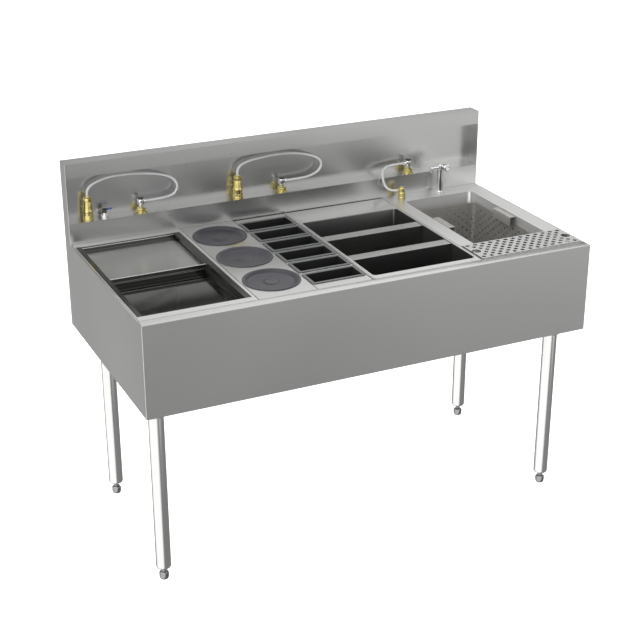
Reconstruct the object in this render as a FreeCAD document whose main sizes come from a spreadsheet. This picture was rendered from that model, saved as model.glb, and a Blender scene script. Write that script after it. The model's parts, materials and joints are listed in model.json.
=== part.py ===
import FreeCAD, Part
import math
import os
import re

import Sketcher

# Underbar cocktail station, 48 inches wide, in millimetres.  The origin is on the floor, in the
# middle of the footprint.  +X runs to the right, +Y to the wall behind it and +Z up.

# ------------------------------------------------------------------ driving sizes
SIZES = {
    # cabinet
    "width": 1219.2,
    "depth": 616,
    "height": 941,
    "deck_height": 724,
    "apron_height": 238,
    "steel": 1.5,
    "bottom_return": 25,
    "side_return": 10,
    "front_strip": 30,
    "side_strip": 4,
    "side_ledge": 2,
    "ledge_drop": 12,
    "ledge_width": 15,
    "seam": 0.8,
    "back_slot": 6,
    "touch_gap": 0.3,
    # backsplash
    "splash_depth": 45,
    "riser_height": 57,
    "lip_height": 38,
    # widths of the units that drop into the deck, from the left
    "ice_width": 300,
    "rimmer_width": 153,
    "condiment_width": 151.5,
    "bottle_width": 304,
    # ice bin
    "ice_left_rim": 3,
    "ice_right_rim": 7.5,
    "ice_front_rim": 23,
    "ice_back_rim": 18,
    "ice_step": 46,
    "ice_depth": 182,
    "ice_corner": 15,
    "foam": 20,
    "shell_steel": 1.2,
    "ice_drain_radius": 12.7,
    "drain_wall": 2,
    "drain_lip": 8,
    "drain_flange": 2,
    # lid tracks and sliding lids
    "track_width": 23,
    "track_drop": 2,
    "track_step": 4,
    "upper_shelf_drop": 14.5,
    "lower_shelf_drop": 29,
    "rear_lid_length": 240,
    "front_lid_length": 262,
    "lid_lip": 12,
    "lid_play": 0.5,
    # glass rimmer dishes
    "dish_radius": 72.5,
    "dish_well_radius": 66,
    "dish_lip": 2.5,
    "dish_depth": 8,
    "dish_wall": 2,
    "dish_floor_radius": 60,
    "dish_bevel": 1.5,
    "dish_boss_radius": 20,
    "dish_boss_height": 5,
    "dish_pitch": 170.5,
    "dish_play": 1,
    "dish_shift": 3,
    # condiment pans
    "condiment_pan_length": 129,
    "condiment_pan_width": 56,
    "condiment_pan_depth": 92,
    "condiment_pan_wall": 2,
    "condiment_pan_lip": 7.5,
    "condiment_pan_taper": 2,
    "condiment_pan_corner": 7,
    "condiment_pitch": 81.5,
    "condiment_play": 1,
    "rail_width": 7,
    "rail_rise": 1.5,
    # bottle wells
    "bottle_side_rim": 5,
    "bottle_front_rim": 20,
    "bottle_back_rim": 90,
    "bottle_depth": 175,
    "bottle_corner": 10,
    "divider_width": 33,
    "divider_drop": 2,
    # sink
    "sink_left_rim": 42,
    "sink_right_rim": 46,
    "sink_front_rim": 26,
    "sink_back_rim": 58,
    "sink_depth": 170,
    "sink_corner": 16,
    "sink_drain_radius": 44,
    "sink_tail_radius": 19,
    "sink_tail_wall": 1.5,
    "sink_cup_depth": 32,
    "sink_cup_taper": 8,
    "locknut": 8,
    "tail_reach": 30,
    # basket
    "basket_length": 342,
    "basket_drop": 24,
    "basket_depth": 130,
    "basket_sheet": 1.2,
    "basket_play": 2.5,
    "basket_back_gap": 27,
    "basket_corner": 10,
    "basket_foot_radius": 4,
    "basket_hole_radius": 3,
    "basket_hole_pitch": 54,
    "basket_hole_row": 30,
    "handle_length": 88,
    "handle_width": 20,
    "handle_turn": 2,
    "basket_foot_inset": 42,
    # perforated drain plate
    "plate_width": 101,
    "plate_thickness": 2,
    "plate_end_gap": 3,
    "plate_side_gap": 0.8,
    "plate_hole_radius": 5.5,
    "plate_hole_pitch": 23,
    "plate_hole_row": 13.5,
    "plate_hole_margin": 8,
    "finger_radius": 12,
    "finger_reach": 136,
    # legs
    "leg_radius": 19.05,
    "leg_wall": 1.6,
    "leg_clearance": 0.3,
    "leg_plug": 16,
    "leg_taper": 4,
    "foot_gap": 34,
    "foot_radius": 12,
    "foot_height": 22,
    "foot_base": 5,
    "foot_stem_radius": 6,
    "foot_stem_play": 0.05,
    "foot_stem_length": 60,
    "leg_inset_front_left": 44,
    "leg_inset_back_left": 65,
    "leg_inset_right": 59,
    "leg_front": 67,
    "leg_back": 96,
    "socket_height": 26,
    "socket_wall": 3,
    "socket_plate": 64,
    "socket_plate_thickness": 3,
    "channel_width": 84,
    "channel_steel": 2,
    # fittings, with how far each stands from the left end
    "shank_radius": 6.5,
    "shank_length": 26,
    "flange_thickness": 3,
    "check_valve_radius": 14,
    "check_valve_height": 63,
    "left_valve_reach": 59,
    "ball_valve_reach": 103,
    "left_outlet_reach": 203,
    "middle_valve_reach": 478,
    "middle_outlet_reach": 608.5,
    "right_outlet_reach": 1003,
    "deck_fitting_spacing": 124,
    "deck_fitting_height": 34,
    "faucet_reach": 1081,
    "faucet_setback": 29,
    "faucet_height": 76,
    "faucet_spout": 27,
    "faucet_column": 8.5,
    "faucet_tube": 5.5,
    "faucet_housing": 9,
    "faucet_knob_shift": 13,
    "faucet_knob_radius": 10.5,
    "faucet_knob_depth": 10,
    "outlet_base_radius": 16,
    "outlet_base_height": 13,
    "outlet_height": 28,
    "outlet_neck": 6.5,
    "outlet_barrel": 14,
    "ball_valve_height": 19,
    "lever_length": 22,
    "lever_width": 9,
    "lever_thickness": 4,
    "lever_stem": 2.5,
    "turning_play": 0.05,
    "hose_radius": 3,
}

# ------------------------------------------------------------------ places worked out from them
PLACES = {
    "left": "-width / 2",
    "right": "width / 2",
    "front": "-depth / 2",
    "back": "depth / 2",
    "riser": "back - splash_depth",
    "strip_back": "front + front_strip",
    "apron_bottom": "deck_height - apron_height",
    "ledge_top": "deck_height - ledge_drop",
    "shelf_top": "deck_height + riser_height",
    "unit_front": "strip_back + seam",
    "unit_back": "riser - seam",
    "insert_back": "riser - back_slot",
    "ice_left": "left + side_strip + seam",
    "ice_right": "left + ice_width - seam",
    "rimmer_left": "left + ice_width + seam",
    "rimmer_right": "left + ice_width + rimmer_width - seam",
    "condiment_left": "left + ice_width + rimmer_width + seam",
    "rail_middle": "left + ice_width + rimmer_width + condiment_width",
    "condiment_right": "rail_middle - rail_width / 2 - seam",
    "bottle_left": "rail_middle + rail_width / 2 + seam",
    "bottle_right": "rail_middle + bottle_width - seam",
    "sink_left": "rail_middle + bottle_width + seam",
    "sink_right": "right - side_strip - seam",
    "ice_open_left": "ice_left + ice_left_rim",
    "ice_open_right": "ice_right - ice_right_rim",
    "ice_open_front": "unit_front + ice_front_rim",
    "ice_open_back": "unit_back - ice_back_rim",
    "ice_well_left": "ice_open_left + track_width",
    "ice_well_right": "ice_open_right - track_width",
    "ice_step_top": "deck_height - ice_step",
    "ice_floor": "deck_height - ice_depth",
    "ice_middle_x": "(ice_open_left + ice_open_right) / 2",
    "ice_middle_y": "(ice_open_front + ice_open_back) / 2",
    "foam_bottom": "ice_floor - steel - foam",
    "shell_bottom": "foam_bottom - shell_steel",
    "track_top": "deck_height - track_drop",
    "upper_shelf": "track_top - upper_shelf_drop",
    "lower_shelf": "track_top - lower_shelf_drop",
    "track_outer": "track_width - 2 * track_step",
    "rear_lid_back": "ice_open_back - lid_play",
    "rear_lid_front": "rear_lid_back - rear_lid_length",
    "front_lid_front": "ice_open_front + lid_play",
    "front_lid_back": "front_lid_front + front_lid_length",
    "rear_lid_reach": "track_outer + lid_play",
    "front_lid_reach": "track_outer + track_step + lid_play",
    "rimmer_middle": "(rimmer_left + rimmer_right) / 2",
    "unit_middle_y": "(unit_front + unit_back) / 2",
    "condiment_middle": "(condiment_left + condiment_right) / 2",
    "bottle_open_left": "bottle_left + bottle_side_rim",
    "bottle_open_right": "bottle_right - bottle_side_rim",
    "bottle_open_front": "unit_front + bottle_front_rim",
    "bottle_open_back": "insert_back - bottle_back_rim",
    "bottle_row": "(bottle_open_back - bottle_open_front - 2 * divider_width) / 3",
    "bottle_floor": "deck_height - bottle_depth",
    "sink_open_left": "sink_left + sink_left_rim",
    "sink_open_right": "sink_right - sink_right_rim",
    "sink_open_front": "unit_front + sink_front_rim",
    "sink_open_back": "unit_back - sink_back_rim",
    "sink_floor": "deck_height - sink_depth",
    "sink_middle_x": "(sink_open_left + sink_open_right) / 2",
    "sink_middle_y": "(sink_open_front + sink_open_back) / 2",
    "basket_left": "sink_open_left + basket_play",
    "basket_right": "sink_open_right - basket_play",
    "basket_back": "sink_open_back - basket_back_gap",
    "basket_front": "basket_back - basket_length",
    "basket_middle_y": "basket_back - basket_length / 2",
    "basket_top": "deck_height - basket_drop",
    "basket_floor": "basket_top - basket_depth",
    "plate_middle_x": "(sink_left + sink_right) / 2",
    "plate_left": "sink_left + steel + plate_end_gap",
    "plate_right": "sink_right - steel - plate_end_gap",
    "plate_front": "unit_front + steel + plate_side_gap",
    "plate_back": "plate_front + plate_width",
    "plate_middle_y": "plate_front + plate_width / 2",
    "recess_back": "plate_back + plate_side_gap",
    "recess_floor": "ledge_top + steel",
    "channel_bottom": "apron_bottom + steel",
    "socket_top": "channel_bottom",
    "leg_top": "socket_top - socket_plate_thickness",
    "fitting_y": "back - splash_depth / 2 - steel / 2",
    "tap_y": "riser - faucet_setback",
    "rimmer_middle_y": "unit_middle_y + dish_shift",
}

doc = FreeCAD.newDocument("underbar_station")
sheet = doc.addObject("Spreadsheet::Sheet", "sizes")
for line, (alias, number) in enumerate(SIZES.items(), start=1):
    sheet.set("A%d" % line, alias)
    sheet.set("B%d" % line, str(number))
    sheet.setAlias("B%d" % line, alias)
doc.recompute()


def value(alias):
    """A driving size as the sheet holds it."""
    return float(sheet.get(alias))


def formula(text):
    """A formula in plain names, written with the sheet's cells."""
    def cell(match):
        word = match.group(0)
        if word in PLACES:
            return "(" + formula(PLACES[word]) + ")"
        return "sizes." + word
    return re.sub(r"[a-z]\w*", cell, str(text))


# ------------------------------------------------------------------ building blocks
BODIES = []
ROUGH = 10.0


def new_body(name):
    """An empty sub-part whose label is its file name."""
    body = doc.addObject("PartDesign::Body", name)
    body.Label = name
    BODIES.append(body)
    return body


def move_to(body, x, y, z=0):
    """Sets a sub-part down at a place given by formulas."""
    for axis, text in zip("xyz", (x, y, z)):
        body.setExpression("Placement.Base." + axis, formula(text))


def flat_sketch(body, role, offset, loops):
    """A sketch on an origin plane. A loop is a list of (u, v) corners, a circle's (u, v, radius)
    or a rounded rectangle's (u0, u1, v0, v1, radius)."""
    drawing = body.newObject("Sketcher::SketchObject", body.Name + "_sketch")
    plane = next(item for item in body.Origin.OriginFeatures if item.Role == role)
    drawing.AttachmentSupport = (plane, [""])
    drawing.MapMode = "FlatFace"
    drawing.setExpression("AttachmentOffset.Base.z", formula(offset))
    for loop in loops:
        if isinstance(loop, list):
            draw_polygon(drawing, loop)
        elif len(loop) == 3:
            draw_circle(drawing, *loop)
        else:
            draw_rounded(drawing, *loop)
    return drawing


def tie(drawing, kind, index, place, text, rough):
    """Ties one distance from the sketch's origin to a formula, starting from a rough value."""
    rule = Sketcher.Constraint(kind, -1, 1, index, place, float(rough))
    constraint = drawing.addConstraint(rule)
    drawing.setExpression("Constraints[%d]" % constraint, formula(text))


def pin_point(drawing, index, place, spot, rough):
    """Ties a point of the sketch to two formulas, measured from the sketch's origin."""
    tie(drawing, "DistanceX", index, place, spot[0], rough[0])
    tie(drawing, "DistanceY", index, place, spot[1], rough[1])


def draw_polygon(drawing, corners):
    """A closed run of lines with each corner tied to its formulas."""
    count = len(corners)
    first = drawing.GeometryCount
    turn = math.tau / count
    start = [FreeCAD.Vector(ROUGH * math.cos(turn * i), ROUGH * math.sin(turn * i), 0)
             for i in range(count)]
    for i in range(count):
        drawing.addGeometry(Part.LineSegment(start[i], start[(i + 1) % count]), False)
    for i in range(count):
        after = first + (i + 1) % count
        drawing.addConstraint(Sketcher.Constraint("Coincident", first + i, 2, after, 1))
    for i, spot in enumerate(corners):
        pin_point(drawing, first + i, 1, spot, start[i])


def draw_circle(drawing, u, v, radius):
    """A circle with its centre and radius tied to formulas."""
    index = drawing.GeometryCount
    round_edge = Part.Circle(FreeCAD.Vector(0, 0, 0), FreeCAD.Vector(0, 0, 1), ROUGH)
    drawing.addGeometry(round_edge, False)
    pin_point(drawing, index, 3, (u, v), (0, 0))
    constraint = drawing.addConstraint(Sketcher.Constraint("Radius", index, ROUGH))
    drawing.setExpression("Constraints[%d]" % constraint, formula(radius))


def draw_rounded(drawing, u0, u1, v0, v1, radius):
    """A rectangle whose corners are arcs tied to the ends of its four sides."""
    first = drawing.GeometryCount
    in_u0 = "%s + (%s)" % (u0, radius)
    in_u1 = "%s - (%s)" % (u1, radius)
    in_v0 = "%s + (%s)" % (v0, radius)
    in_v1 = "%s - (%s)" % (v1, radius)
    outer = ROUGH
    inner = ROUGH * 0.7
    sides = [
        ((in_u0, v0), (in_u1, v0), (-inner, -outer), (inner, -outer)),
        ((u1, in_v0), (u1, in_v1), (outer, -inner), (outer, inner)),
        ((in_u1, v1), (in_u0, v1), (inner, outer), (-inner, outer)),
        ((u0, in_v1), (u0, in_v0), (-outer, inner), (-outer, -inner)),
    ]
    centres = [(in_u1, inner, -inner), (in_u1, inner, inner),
               (in_u0, -inner, inner), (in_u0, -inner, -inner)]
    quarter = math.pi / 2
    for start, end, rough_start, rough_end in sides:
        side = Part.LineSegment(FreeCAD.Vector(*rough_start, 0), FreeCAD.Vector(*rough_end, 0))
        drawing.addGeometry(side, False)
    for i, (centre, x, y) in enumerate(centres):
        ring = Part.Circle(FreeCAD.Vector(x, y, 0), FreeCAD.Vector(0, 0, 1), outer - inner)
        drawing.addGeometry(Part.ArcOfCircle(ring, (i - 1) * quarter, i * quarter), False)
    for i, (start, end, rough_start, rough_end) in enumerate(sides):
        pin_point(drawing, first + i, 1, start, rough_start)
        pin_point(drawing, first + i, 2, end, rough_end)
    for i, (centre, x, y) in enumerate(centres):
        arc = first + 4 + i
        after = first + (i + 1) % 4
        drawing.addConstraint(Sketcher.Constraint("Coincident", arc, 1, first + i, 2))
        drawing.addConstraint(Sketcher.Constraint("Coincident", arc, 2, after, 1))
        tie(drawing, "DistanceX", arc, 3, centre, x)


def rectangle(u0, u1, v0, v1):
    """Corners of a rectangle."""
    return [(u0, v0), (u1, v0), (u1, v1), (u0, v1)]


def feature(body, kind, drawing, length, reverse=False):
    """A pad or pocket of a sketch."""
    result = body.newObject("PartDesign::" + kind, "%s_%s" % (body.Name, kind.lower()))
    result.Profile = drawing
    result.setExpression("Length", formula(length))
    result.Reversed = reverse
    drawing.Visibility = False
    if kind == "Pocket":
        doc.recompute()
        if result.Shape.Volume > result.BaseFeature.Shape.Volume - 1:
            raise RuntimeError(body.Label + ": a pocket cut nothing")
    return result


def slab(body, outline, top, thickness):
    """Material under the level called top."""
    return feature(body, "Pad", flat_sketch(body, "XY_Plane", top, outline), thickness, True)


def hollow(body, outline, top, depth):
    """Takes material away downwards from the level called top."""
    return feature(body, "Pocket", flat_sketch(body, "XY_Plane", top, outline), depth)


def hollow_upward(body, outline, bottom, depth):
    """Takes material away upwards from the level called bottom."""
    return feature(body, "Pocket", flat_sketch(body, "XY_Plane", bottom, outline), depth, True)


def along_x(body, outline, x0, x1):
    """A profile in Y and Z that runs from x0 to x1."""
    drawing = flat_sketch(body, "YZ_Plane", x0, [outline])
    return feature(body, "Pad", drawing, "(%s) - (%s)" % (x1, x0))


def along_y(body, outline, y0, y1):
    """A profile in X and Z that runs from y0 to y1."""
    drawing = flat_sketch(body, "XZ_Plane", "-(%s)" % y0, [outline])
    return feature(body, "Pad", drawing, "(%s) - (%s)" % (y1, y0), True)


def turned(body, outline):
    """A profile in radius and height, turned about the body's Z axis."""
    drawing = flat_sketch(body, "XZ_Plane", 0, [outline])
    result = body.newObject("PartDesign::Revolution", body.Name + "_turned")
    result.Profile = drawing
    result.ReferenceAxis = (drawing, ["V_Axis"])
    result.Angle = 360
    drawing.Visibility = False
    return result


def named_edges(shape, wanted):
    """Names of the edges that pass a test."""
    return ["Edge%d" % (i + 1) for i, edge in enumerate(shape.Edges) if wanted(edge)]


def round_level(body, base, level, radius, inside):
    """Rounds the edges at one level that lie inside a box of x and y limits."""
    doc.recompute()
    x0, x1, y0, y1 = inside

    def at_level(edge):
        box = edge.BoundBox
        flat = abs(box.ZMin - level) < 0.01 and abs(box.ZMax - level) < 0.01
        return flat and x0 < box.XMin and box.XMax < x1 and y0 < box.YMin and box.YMax < y1

    rounding = body.newObject("PartDesign::Fillet", body.Name + "_bend")
    rounding.Base = (base, named_edges(base.Shape, at_level))
    rounding.setExpression("Radius", formula(radius))
    return rounding


# ------------------------------------------------------------------ drop-in units
def turned_down_top(name, x0, x1, y0, y1):
    """A deck sheet whose four edges turn down onto the ledges."""
    body = new_body(name)
    slab(body, [rectangle(x0, x1, y0, y1)], "deck_height", "ledge_drop")
    inner = rectangle(x0 + " + steel", x1 + " - steel", y0 + " + steel", y1 + " - steel")
    hollow_upward(body, [inner], "ledge_top", "ledge_drop - steel")
    return body


def add_tub(body, sides, corner, top, skin_top, floor_level):
    """Draws a round-cornered tub down through the sheet, open at the top."""
    x0, x1, y0, y1 = sides
    outer = (x0 + " - steel", x1 + " + steel", y0 + " - steel", y1 + " + steel",
             corner + " + steel")
    slab(body, [outer], skin_top, "%s - %s + steel" % (skin_top, floor_level))
    return hollow(body, [(x0, x1, y0, y1, corner)], top, "%s - %s" % (top, floor_level))


def round_floor(body, cavity, floor_height, radius):
    """Rounds the bend between a tub's walls and its floor."""
    drawing = cavity.Profile[0]
    xs = [edge.StartPoint.x for edge in drawing.Geometry]
    ys = [edge.StartPoint.y for edge in drawing.Geometry]
    margin = 0.1
    inside = (min(xs) - margin, max(xs) + margin, min(ys) - margin, max(ys) + margin)
    return round_level(body, cavity, floor_height, radius, inside)


# ------------------------------------------------------------------ cabinet sheets
def front_apron():
    """A front wall with a top strip, a ledge under the units and a return at the bottom."""
    body = new_body("front_apron")
    wall = rectangle("front", "front + steel", "apron_bottom", "deck_height")
    along_x(body, wall, "left", "right")
    strip = [
        ("front + steel", "deck_height - steel"),
        ("front + steel", "deck_height"),
        ("strip_back", "deck_height"),
        ("strip_back", "ledge_top"),
        ("strip_back + ledge_width", "ledge_top"),
        ("strip_back + ledge_width", "ledge_top - steel"),
        ("strip_back - steel", "ledge_top - steel"),
        ("strip_back - steel", "deck_height - steel"),
    ]
    along_x(body, strip, "left + steel", "right - steel")
    fold = rectangle("front + steel", "front + bottom_return",
                     "apron_bottom", "apron_bottom + steel")
    along_x(body, fold, "left + steel", "right - steel")


def side_panel(name, edge, inward):
    """A side wall that rises behind as the splash's end, with a top strip, a ledge and a return."""
    def at(distance):
        return "%s %s (%s)" % (edge, inward, distance)

    body = new_body(name)
    wall = [
        ("front + steel", "apron_bottom"),
        ("back", "apron_bottom"),
        ("back", "height"),
        ("riser", "height"),
        ("riser", "deck_height"),
        ("front + steel", "deck_height"),
    ]
    if inward == "+":
        along_x(body, wall, edge, at("steel"))
    else:
        along_x(body, wall, at("steel"), edge)
    strip = rectangle(at("steel"), at("side_strip"), "deck_height - steel", "deck_height")
    along_y(body, strip, "strip_back", "riser")
    ledge = [
        (at("side_strip - steel"), "deck_height - steel"),
        (at("side_strip - steel"), "ledge_top - steel"),
        (at("side_strip + side_ledge"), "ledge_top - steel"),
        (at("side_strip + side_ledge"), "ledge_top"),
        (at("side_strip"), "ledge_top"),
        (at("side_strip"), "deck_height - steel"),
    ]
    along_y(body, ledge, "strip_back + ledge_width + seam", "riser - ledge_width - seam")
    fold = rectangle(at("steel"), at("side_return"), "apron_bottom", "apron_bottom + steel")
    along_y(body, fold, "front + bottom_return + seam", "back - bottom_return - seam")


def rear_panel():
    body = new_body("rear_panel")
    outline = [
        ("back", "apron_bottom"),
        ("back", "shelf_top - steel"),
        ("back - steel", "shelf_top - steel"),
        ("back - steel", "apron_bottom + steel"),
        ("back - bottom_return", "apron_bottom + steel"),
        ("back - bottom_return", "apron_bottom"),
    ]
    along_x(body, outline, "left + steel", "right - steel")


def backsplash(shank_places):
    """One sheet folded seven times: foot, riser, shelf, back, top and lip."""
    body = new_body("backsplash")
    outline = [
        ("riser - ledge_width", "ledge_top"),
        ("riser", "ledge_top"),
        ("riser", "shelf_top"),
        ("back - steel", "shelf_top"),
        ("back - steel", "height - steel"),
        ("riser + steel", "height - steel"),
        ("riser + steel", "height - lip_height"),
        ("riser", "height - lip_height"),
        ("riser", "height"),
        ("back", "height"),
        ("back", "shelf_top - steel"),
        ("riser + steel", "shelf_top - steel"),
        ("riser + steel", "ledge_top - steel"),
        ("riser - ledge_width", "ledge_top - steel"),
    ]
    along_x(body, outline, "left + steel", "right - steel")
    holes = [(x, "fitting_y", "shank_radius + touch_gap") for x in shank_places]
    hollow(body, holes, "shelf_top + 1", "steel + 2")


# ------------------------------------------------------------------ ice bin
def ice_bin_liner():
    body = turned_down_top("ice_bin_liner", "ice_left", "ice_right", "unit_front", "unit_back")
    upper = ("ice_open_left", "ice_open_right", "ice_open_front", "ice_open_back")
    add_tub(body, upper, "steel", "deck_height", "deck_height - steel / 2", "ice_step_top")
    lower = ("ice_well_left", "ice_well_right", "ice_open_front", "ice_open_back")
    cavity = add_tub(body, lower, "ice_corner", "ice_step_top", "ice_step_top - steel / 2",
                     "ice_floor")
    round_floor(body, cavity, value("deck_height") - value("ice_depth"), "ice_corner / 2")
    hollow(body, [("ice_middle_x", "ice_middle_y", "ice_drain_radius + touch_gap")],
           "ice_floor + 1", "steel + 2")


def ice_bin_wrap(name, gap, thickness, floor_level, bottom):
    """A box that wraps the ice bin's well, with a hole for the drain."""
    body = new_body(name)
    x0 = "ice_well_left - steel - " + gap
    x1 = "ice_well_right + steel + " + gap
    y0 = "ice_open_front - steel - " + gap
    y1 = "ice_open_back + steel + " + gap
    outer = rectangle("%s - %s" % (x0, thickness), "%s + %s" % (x1, thickness),
                      "%s - %s" % (y0, thickness), "%s + %s" % (y1, thickness))
    top = "ice_step_top - steel"
    slab(body, [outer], top, "%s - (%s)" % (top, bottom))
    hollow(body, [rectangle(x0, x1, y0, y1)], top, "%s - (%s)" % (top, floor_level))
    hollow(body, [("ice_middle_x", "ice_middle_y", "ice_drain_radius + touch_gap")],
           "%s + 1" % floor_level, "%s - (%s) + 2" % (floor_level, bottom))


def ice_bin_drain():
    body = new_body("ice_bin_drain")
    flange = "ice_drain_radius + drain_lip"
    bore = "ice_drain_radius - drain_wall"
    outline = [
        (bore, "ice_floor + drain_flange"),
        (flange, "ice_floor + drain_flange / 2"),
        (flange, "ice_floor"),
        ("ice_drain_radius", "ice_floor"),
        ("ice_drain_radius", "shell_bottom"),
        (flange, "shell_bottom"),
        (flange, "shell_bottom - locknut"),
        ("ice_drain_radius", "shell_bottom - locknut"),
        ("ice_drain_radius", "apron_bottom - tail_reach"),
        (bore, "apron_bottom - tail_reach"),
    ]
    turned(body, outline)
    move_to(body, "ice_middle_x", "ice_middle_y")


def lid_track(name, edge, inward):
    """A stepped runner: the rear lid rides its upper shelf, the front lid its lower one."""
    def at(distance):
        return "%s %s (%s)" % (edge, inward, distance)

    body = new_body(name)
    outline = [
        (edge, "ice_step_top"),
        (edge, "track_top"),
        (at("track_outer"), "track_top"),
        (at("track_outer"), "upper_shelf"),
        (at("track_outer + track_step"), "upper_shelf"),
        (at("track_outer + track_step"), "lower_shelf"),
        (at("track_width"), "lower_shelf"),
        (at("track_width"), "ice_step_top"),
    ]
    along_y(body, outline, "ice_open_front + steel + touch_gap",
            "ice_open_back - steel - touch_gap")


def sliding_lid(name, front, back, reach, base):
    """A sheet with its front and back edges folded up."""
    body = new_body(name)
    outline = [
        (front, base),
        (front, base + " + lid_lip"),
        (front + " + steel", base + " + lid_lip"),
        (front + " + steel", base + " + steel"),
        (back + " - steel", base + " + steel"),
        (back + " - steel", base + " + lid_lip"),
        (back, base + " + lid_lip"),
        (back, base),
    ]
    along_x(body, outline, "ice_open_left + " + reach, "ice_open_right - " + reach)


# ------------------------------------------------------------------ glass rimmer
def rimmer_panel(dish_rows):
    body = turned_down_top("rimmer_panel", "rimmer_left", "rimmer_right",
                           "unit_front", "unit_back")
    holes = [("rimmer_middle", row, "dish_well_radius + dish_play") for row in dish_rows]
    hollow(body, holes, "deck_height + 1", "steel + 2")


def rimmer_dish(name, row):
    """A shallow round dish with a lip and a raised middle."""
    body = new_body(name)
    floor = "dish_wall - dish_depth"
    boss_top = floor + " + dish_boss_height"
    outline = [
        ("0", "-dish_depth"),
        ("dish_floor_radius", "-dish_depth"),
        ("dish_well_radius", "0"),
        ("dish_radius", "0"),
        ("dish_radius", "dish_lip - dish_bevel"),
        ("dish_radius - dish_bevel", "dish_lip"),
        ("dish_well_radius", "dish_lip"),
        ("dish_floor_radius - dish_wall", floor),
        ("dish_boss_radius + dish_wall", floor),
        ("dish_boss_radius", boss_top + " - dish_bevel"),
        ("dish_boss_radius - dish_bevel", boss_top),
        ("0", boss_top),
    ]
    turned(body, outline)
    move_to(body, "rimmer_middle", row, "deck_height")


# ------------------------------------------------------------------ condiment pans
def condiment_tray(pan_rows):
    body = turned_down_top("condiment_tray", "condiment_left", "condiment_right",
                           "unit_front", "insert_back")
    half_x = "condiment_pan_length / 2 + condiment_pan_wall + condiment_play"
    half_y = "condiment_pan_width / 2 + condiment_pan_wall + condiment_play"
    holes = [rectangle("condiment_middle - (%s)" % half_x, "condiment_middle + " + half_x,
                       "%s - (%s)" % (row, half_y), "%s + %s" % (row, half_y))
             for row in pan_rows]
    hollow(body, holes, "deck_height + 1", "steel + 2")


def tapered(body, half_x, half_y, top, bottom, shrink, cut):
    """A rectangular loft that narrows towards its lower end."""
    kind = "SubtractiveLoft" if cut else "AdditiveLoft"
    upper = rectangle("-(%s)" % half_x, half_x, "-(%s)" % half_y, half_y)
    lower = rectangle("-(%s - %s)" % (half_x, shrink), "%s - %s" % (half_x, shrink),
                      "-(%s - %s)" % (half_y, shrink), "%s - %s" % (half_y, shrink))
    first = flat_sketch(body, "XY_Plane", top, [upper])
    last = flat_sketch(body, "XY_Plane", bottom, [lower])
    loft = body.newObject("PartDesign::" + kind, body.Name + "_taper")
    loft.Profile = first
    loft.Sections = [last]
    loft.Ruled = True
    first.Visibility = False
    last.Visibility = False
    return loft


def condiment_pan(name, row):
    """A tapered insert pan that hangs by its lip."""
    body = new_body(name)
    inner_x = "condiment_pan_length / 2"
    inner_y = "condiment_pan_width / 2"
    lip = "condiment_pan_lip"
    outer = ("-(%s + %s)" % (inner_x, lip), "%s + %s" % (inner_x, lip),
             "-(%s + %s)" % (inner_y, lip), "%s + %s" % (inner_y, lip), "condiment_pan_corner")
    slab(body, [outer], "condiment_pan_wall", "condiment_pan_wall")
    tapered(body, inner_x + " + condiment_pan_wall", inner_y + " + condiment_pan_wall",
            "0", "-condiment_pan_depth", "condiment_pan_taper", False)
    tapered(body, inner_x, inner_y, "condiment_pan_wall",
            "condiment_pan_wall - condiment_pan_depth", "condiment_pan_taper", True)
    move_to(body, "condiment_middle", row, "deck_height")


def insert_rail():
    body = new_body("insert_rail")
    outline = rectangle("rail_middle - rail_width / 2", "rail_middle + rail_width / 2",
                        "ledge_top", "deck_height + rail_rise")
    along_y(body, outline, "unit_front", "insert_back")


# ------------------------------------------------------------------ bottle wells
def bottle_well():
    body = turned_down_top("bottle_well", "bottle_left", "bottle_right",
                           "unit_front", "insert_back")
    sides = ("bottle_open_left", "bottle_open_right", "bottle_open_front", "bottle_open_back")
    add_tub(body, sides, "bottle_corner", "deck_height", "deck_height - steel / 2",
            "bottle_floor")


def bottle_divider(name, rows_behind):
    """A folded channel that stands on the well's floor between two rows of bottles."""
    body = new_body(name)
    back = "bottle_open_back - %d * bottle_row - %d * divider_width" % (rows_behind, rows_behind - 1)
    front = back + " - divider_width"
    top = "deck_height - divider_drop"
    outline = [
        (front, "bottle_floor"),
        (front, top),
        (back, top),
        (back, "bottle_floor"),
        (back + " - steel", "bottle_floor"),
        (back + " - steel", top + " - steel"),
        (front + " + steel", top + " - steel"),
        (front + " + steel", "bottle_floor"),
    ]
    along_x(body, outline, "bottle_open_left + touch_gap", "bottle_open_right - touch_gap")


# ------------------------------------------------------------------ sink
def sink_bowl(tap_places):
    """A bowl whose top steps down in front, where the drain plate lies."""
    body = turned_down_top("sink_bowl", "sink_left", "sink_right", "unit_front", "unit_back")
    step = rectangle("sink_left", "sink_right", "unit_front", "recess_back + steel")
    slab(body, [step], "deck_height", "ledge_drop")
    sides = ("sink_open_left", "sink_open_right", "sink_open_front", "sink_open_back")
    cavity = add_tub(body, sides, "sink_corner", "deck_height", "deck_height - steel / 2",
                     "sink_floor")
    round_floor(body, cavity, value("deck_height") - value("sink_depth"), "sink_corner / 2")
    recess = rectangle("sink_left + steel", "sink_right - steel",
                       "unit_front + steel", "recess_back")
    hollow(body, [recess], "deck_height", "ledge_drop - steel")
    hollow(body, [("sink_middle_x", "sink_middle_y", "sink_drain_radius + touch_gap")],
           "sink_floor + 1", "steel + 2")
    holes = [(x, "tap_y", "shank_radius + touch_gap") for x in tap_places]
    hollow(body, holes, "deck_height + 1", "steel + 2")


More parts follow.
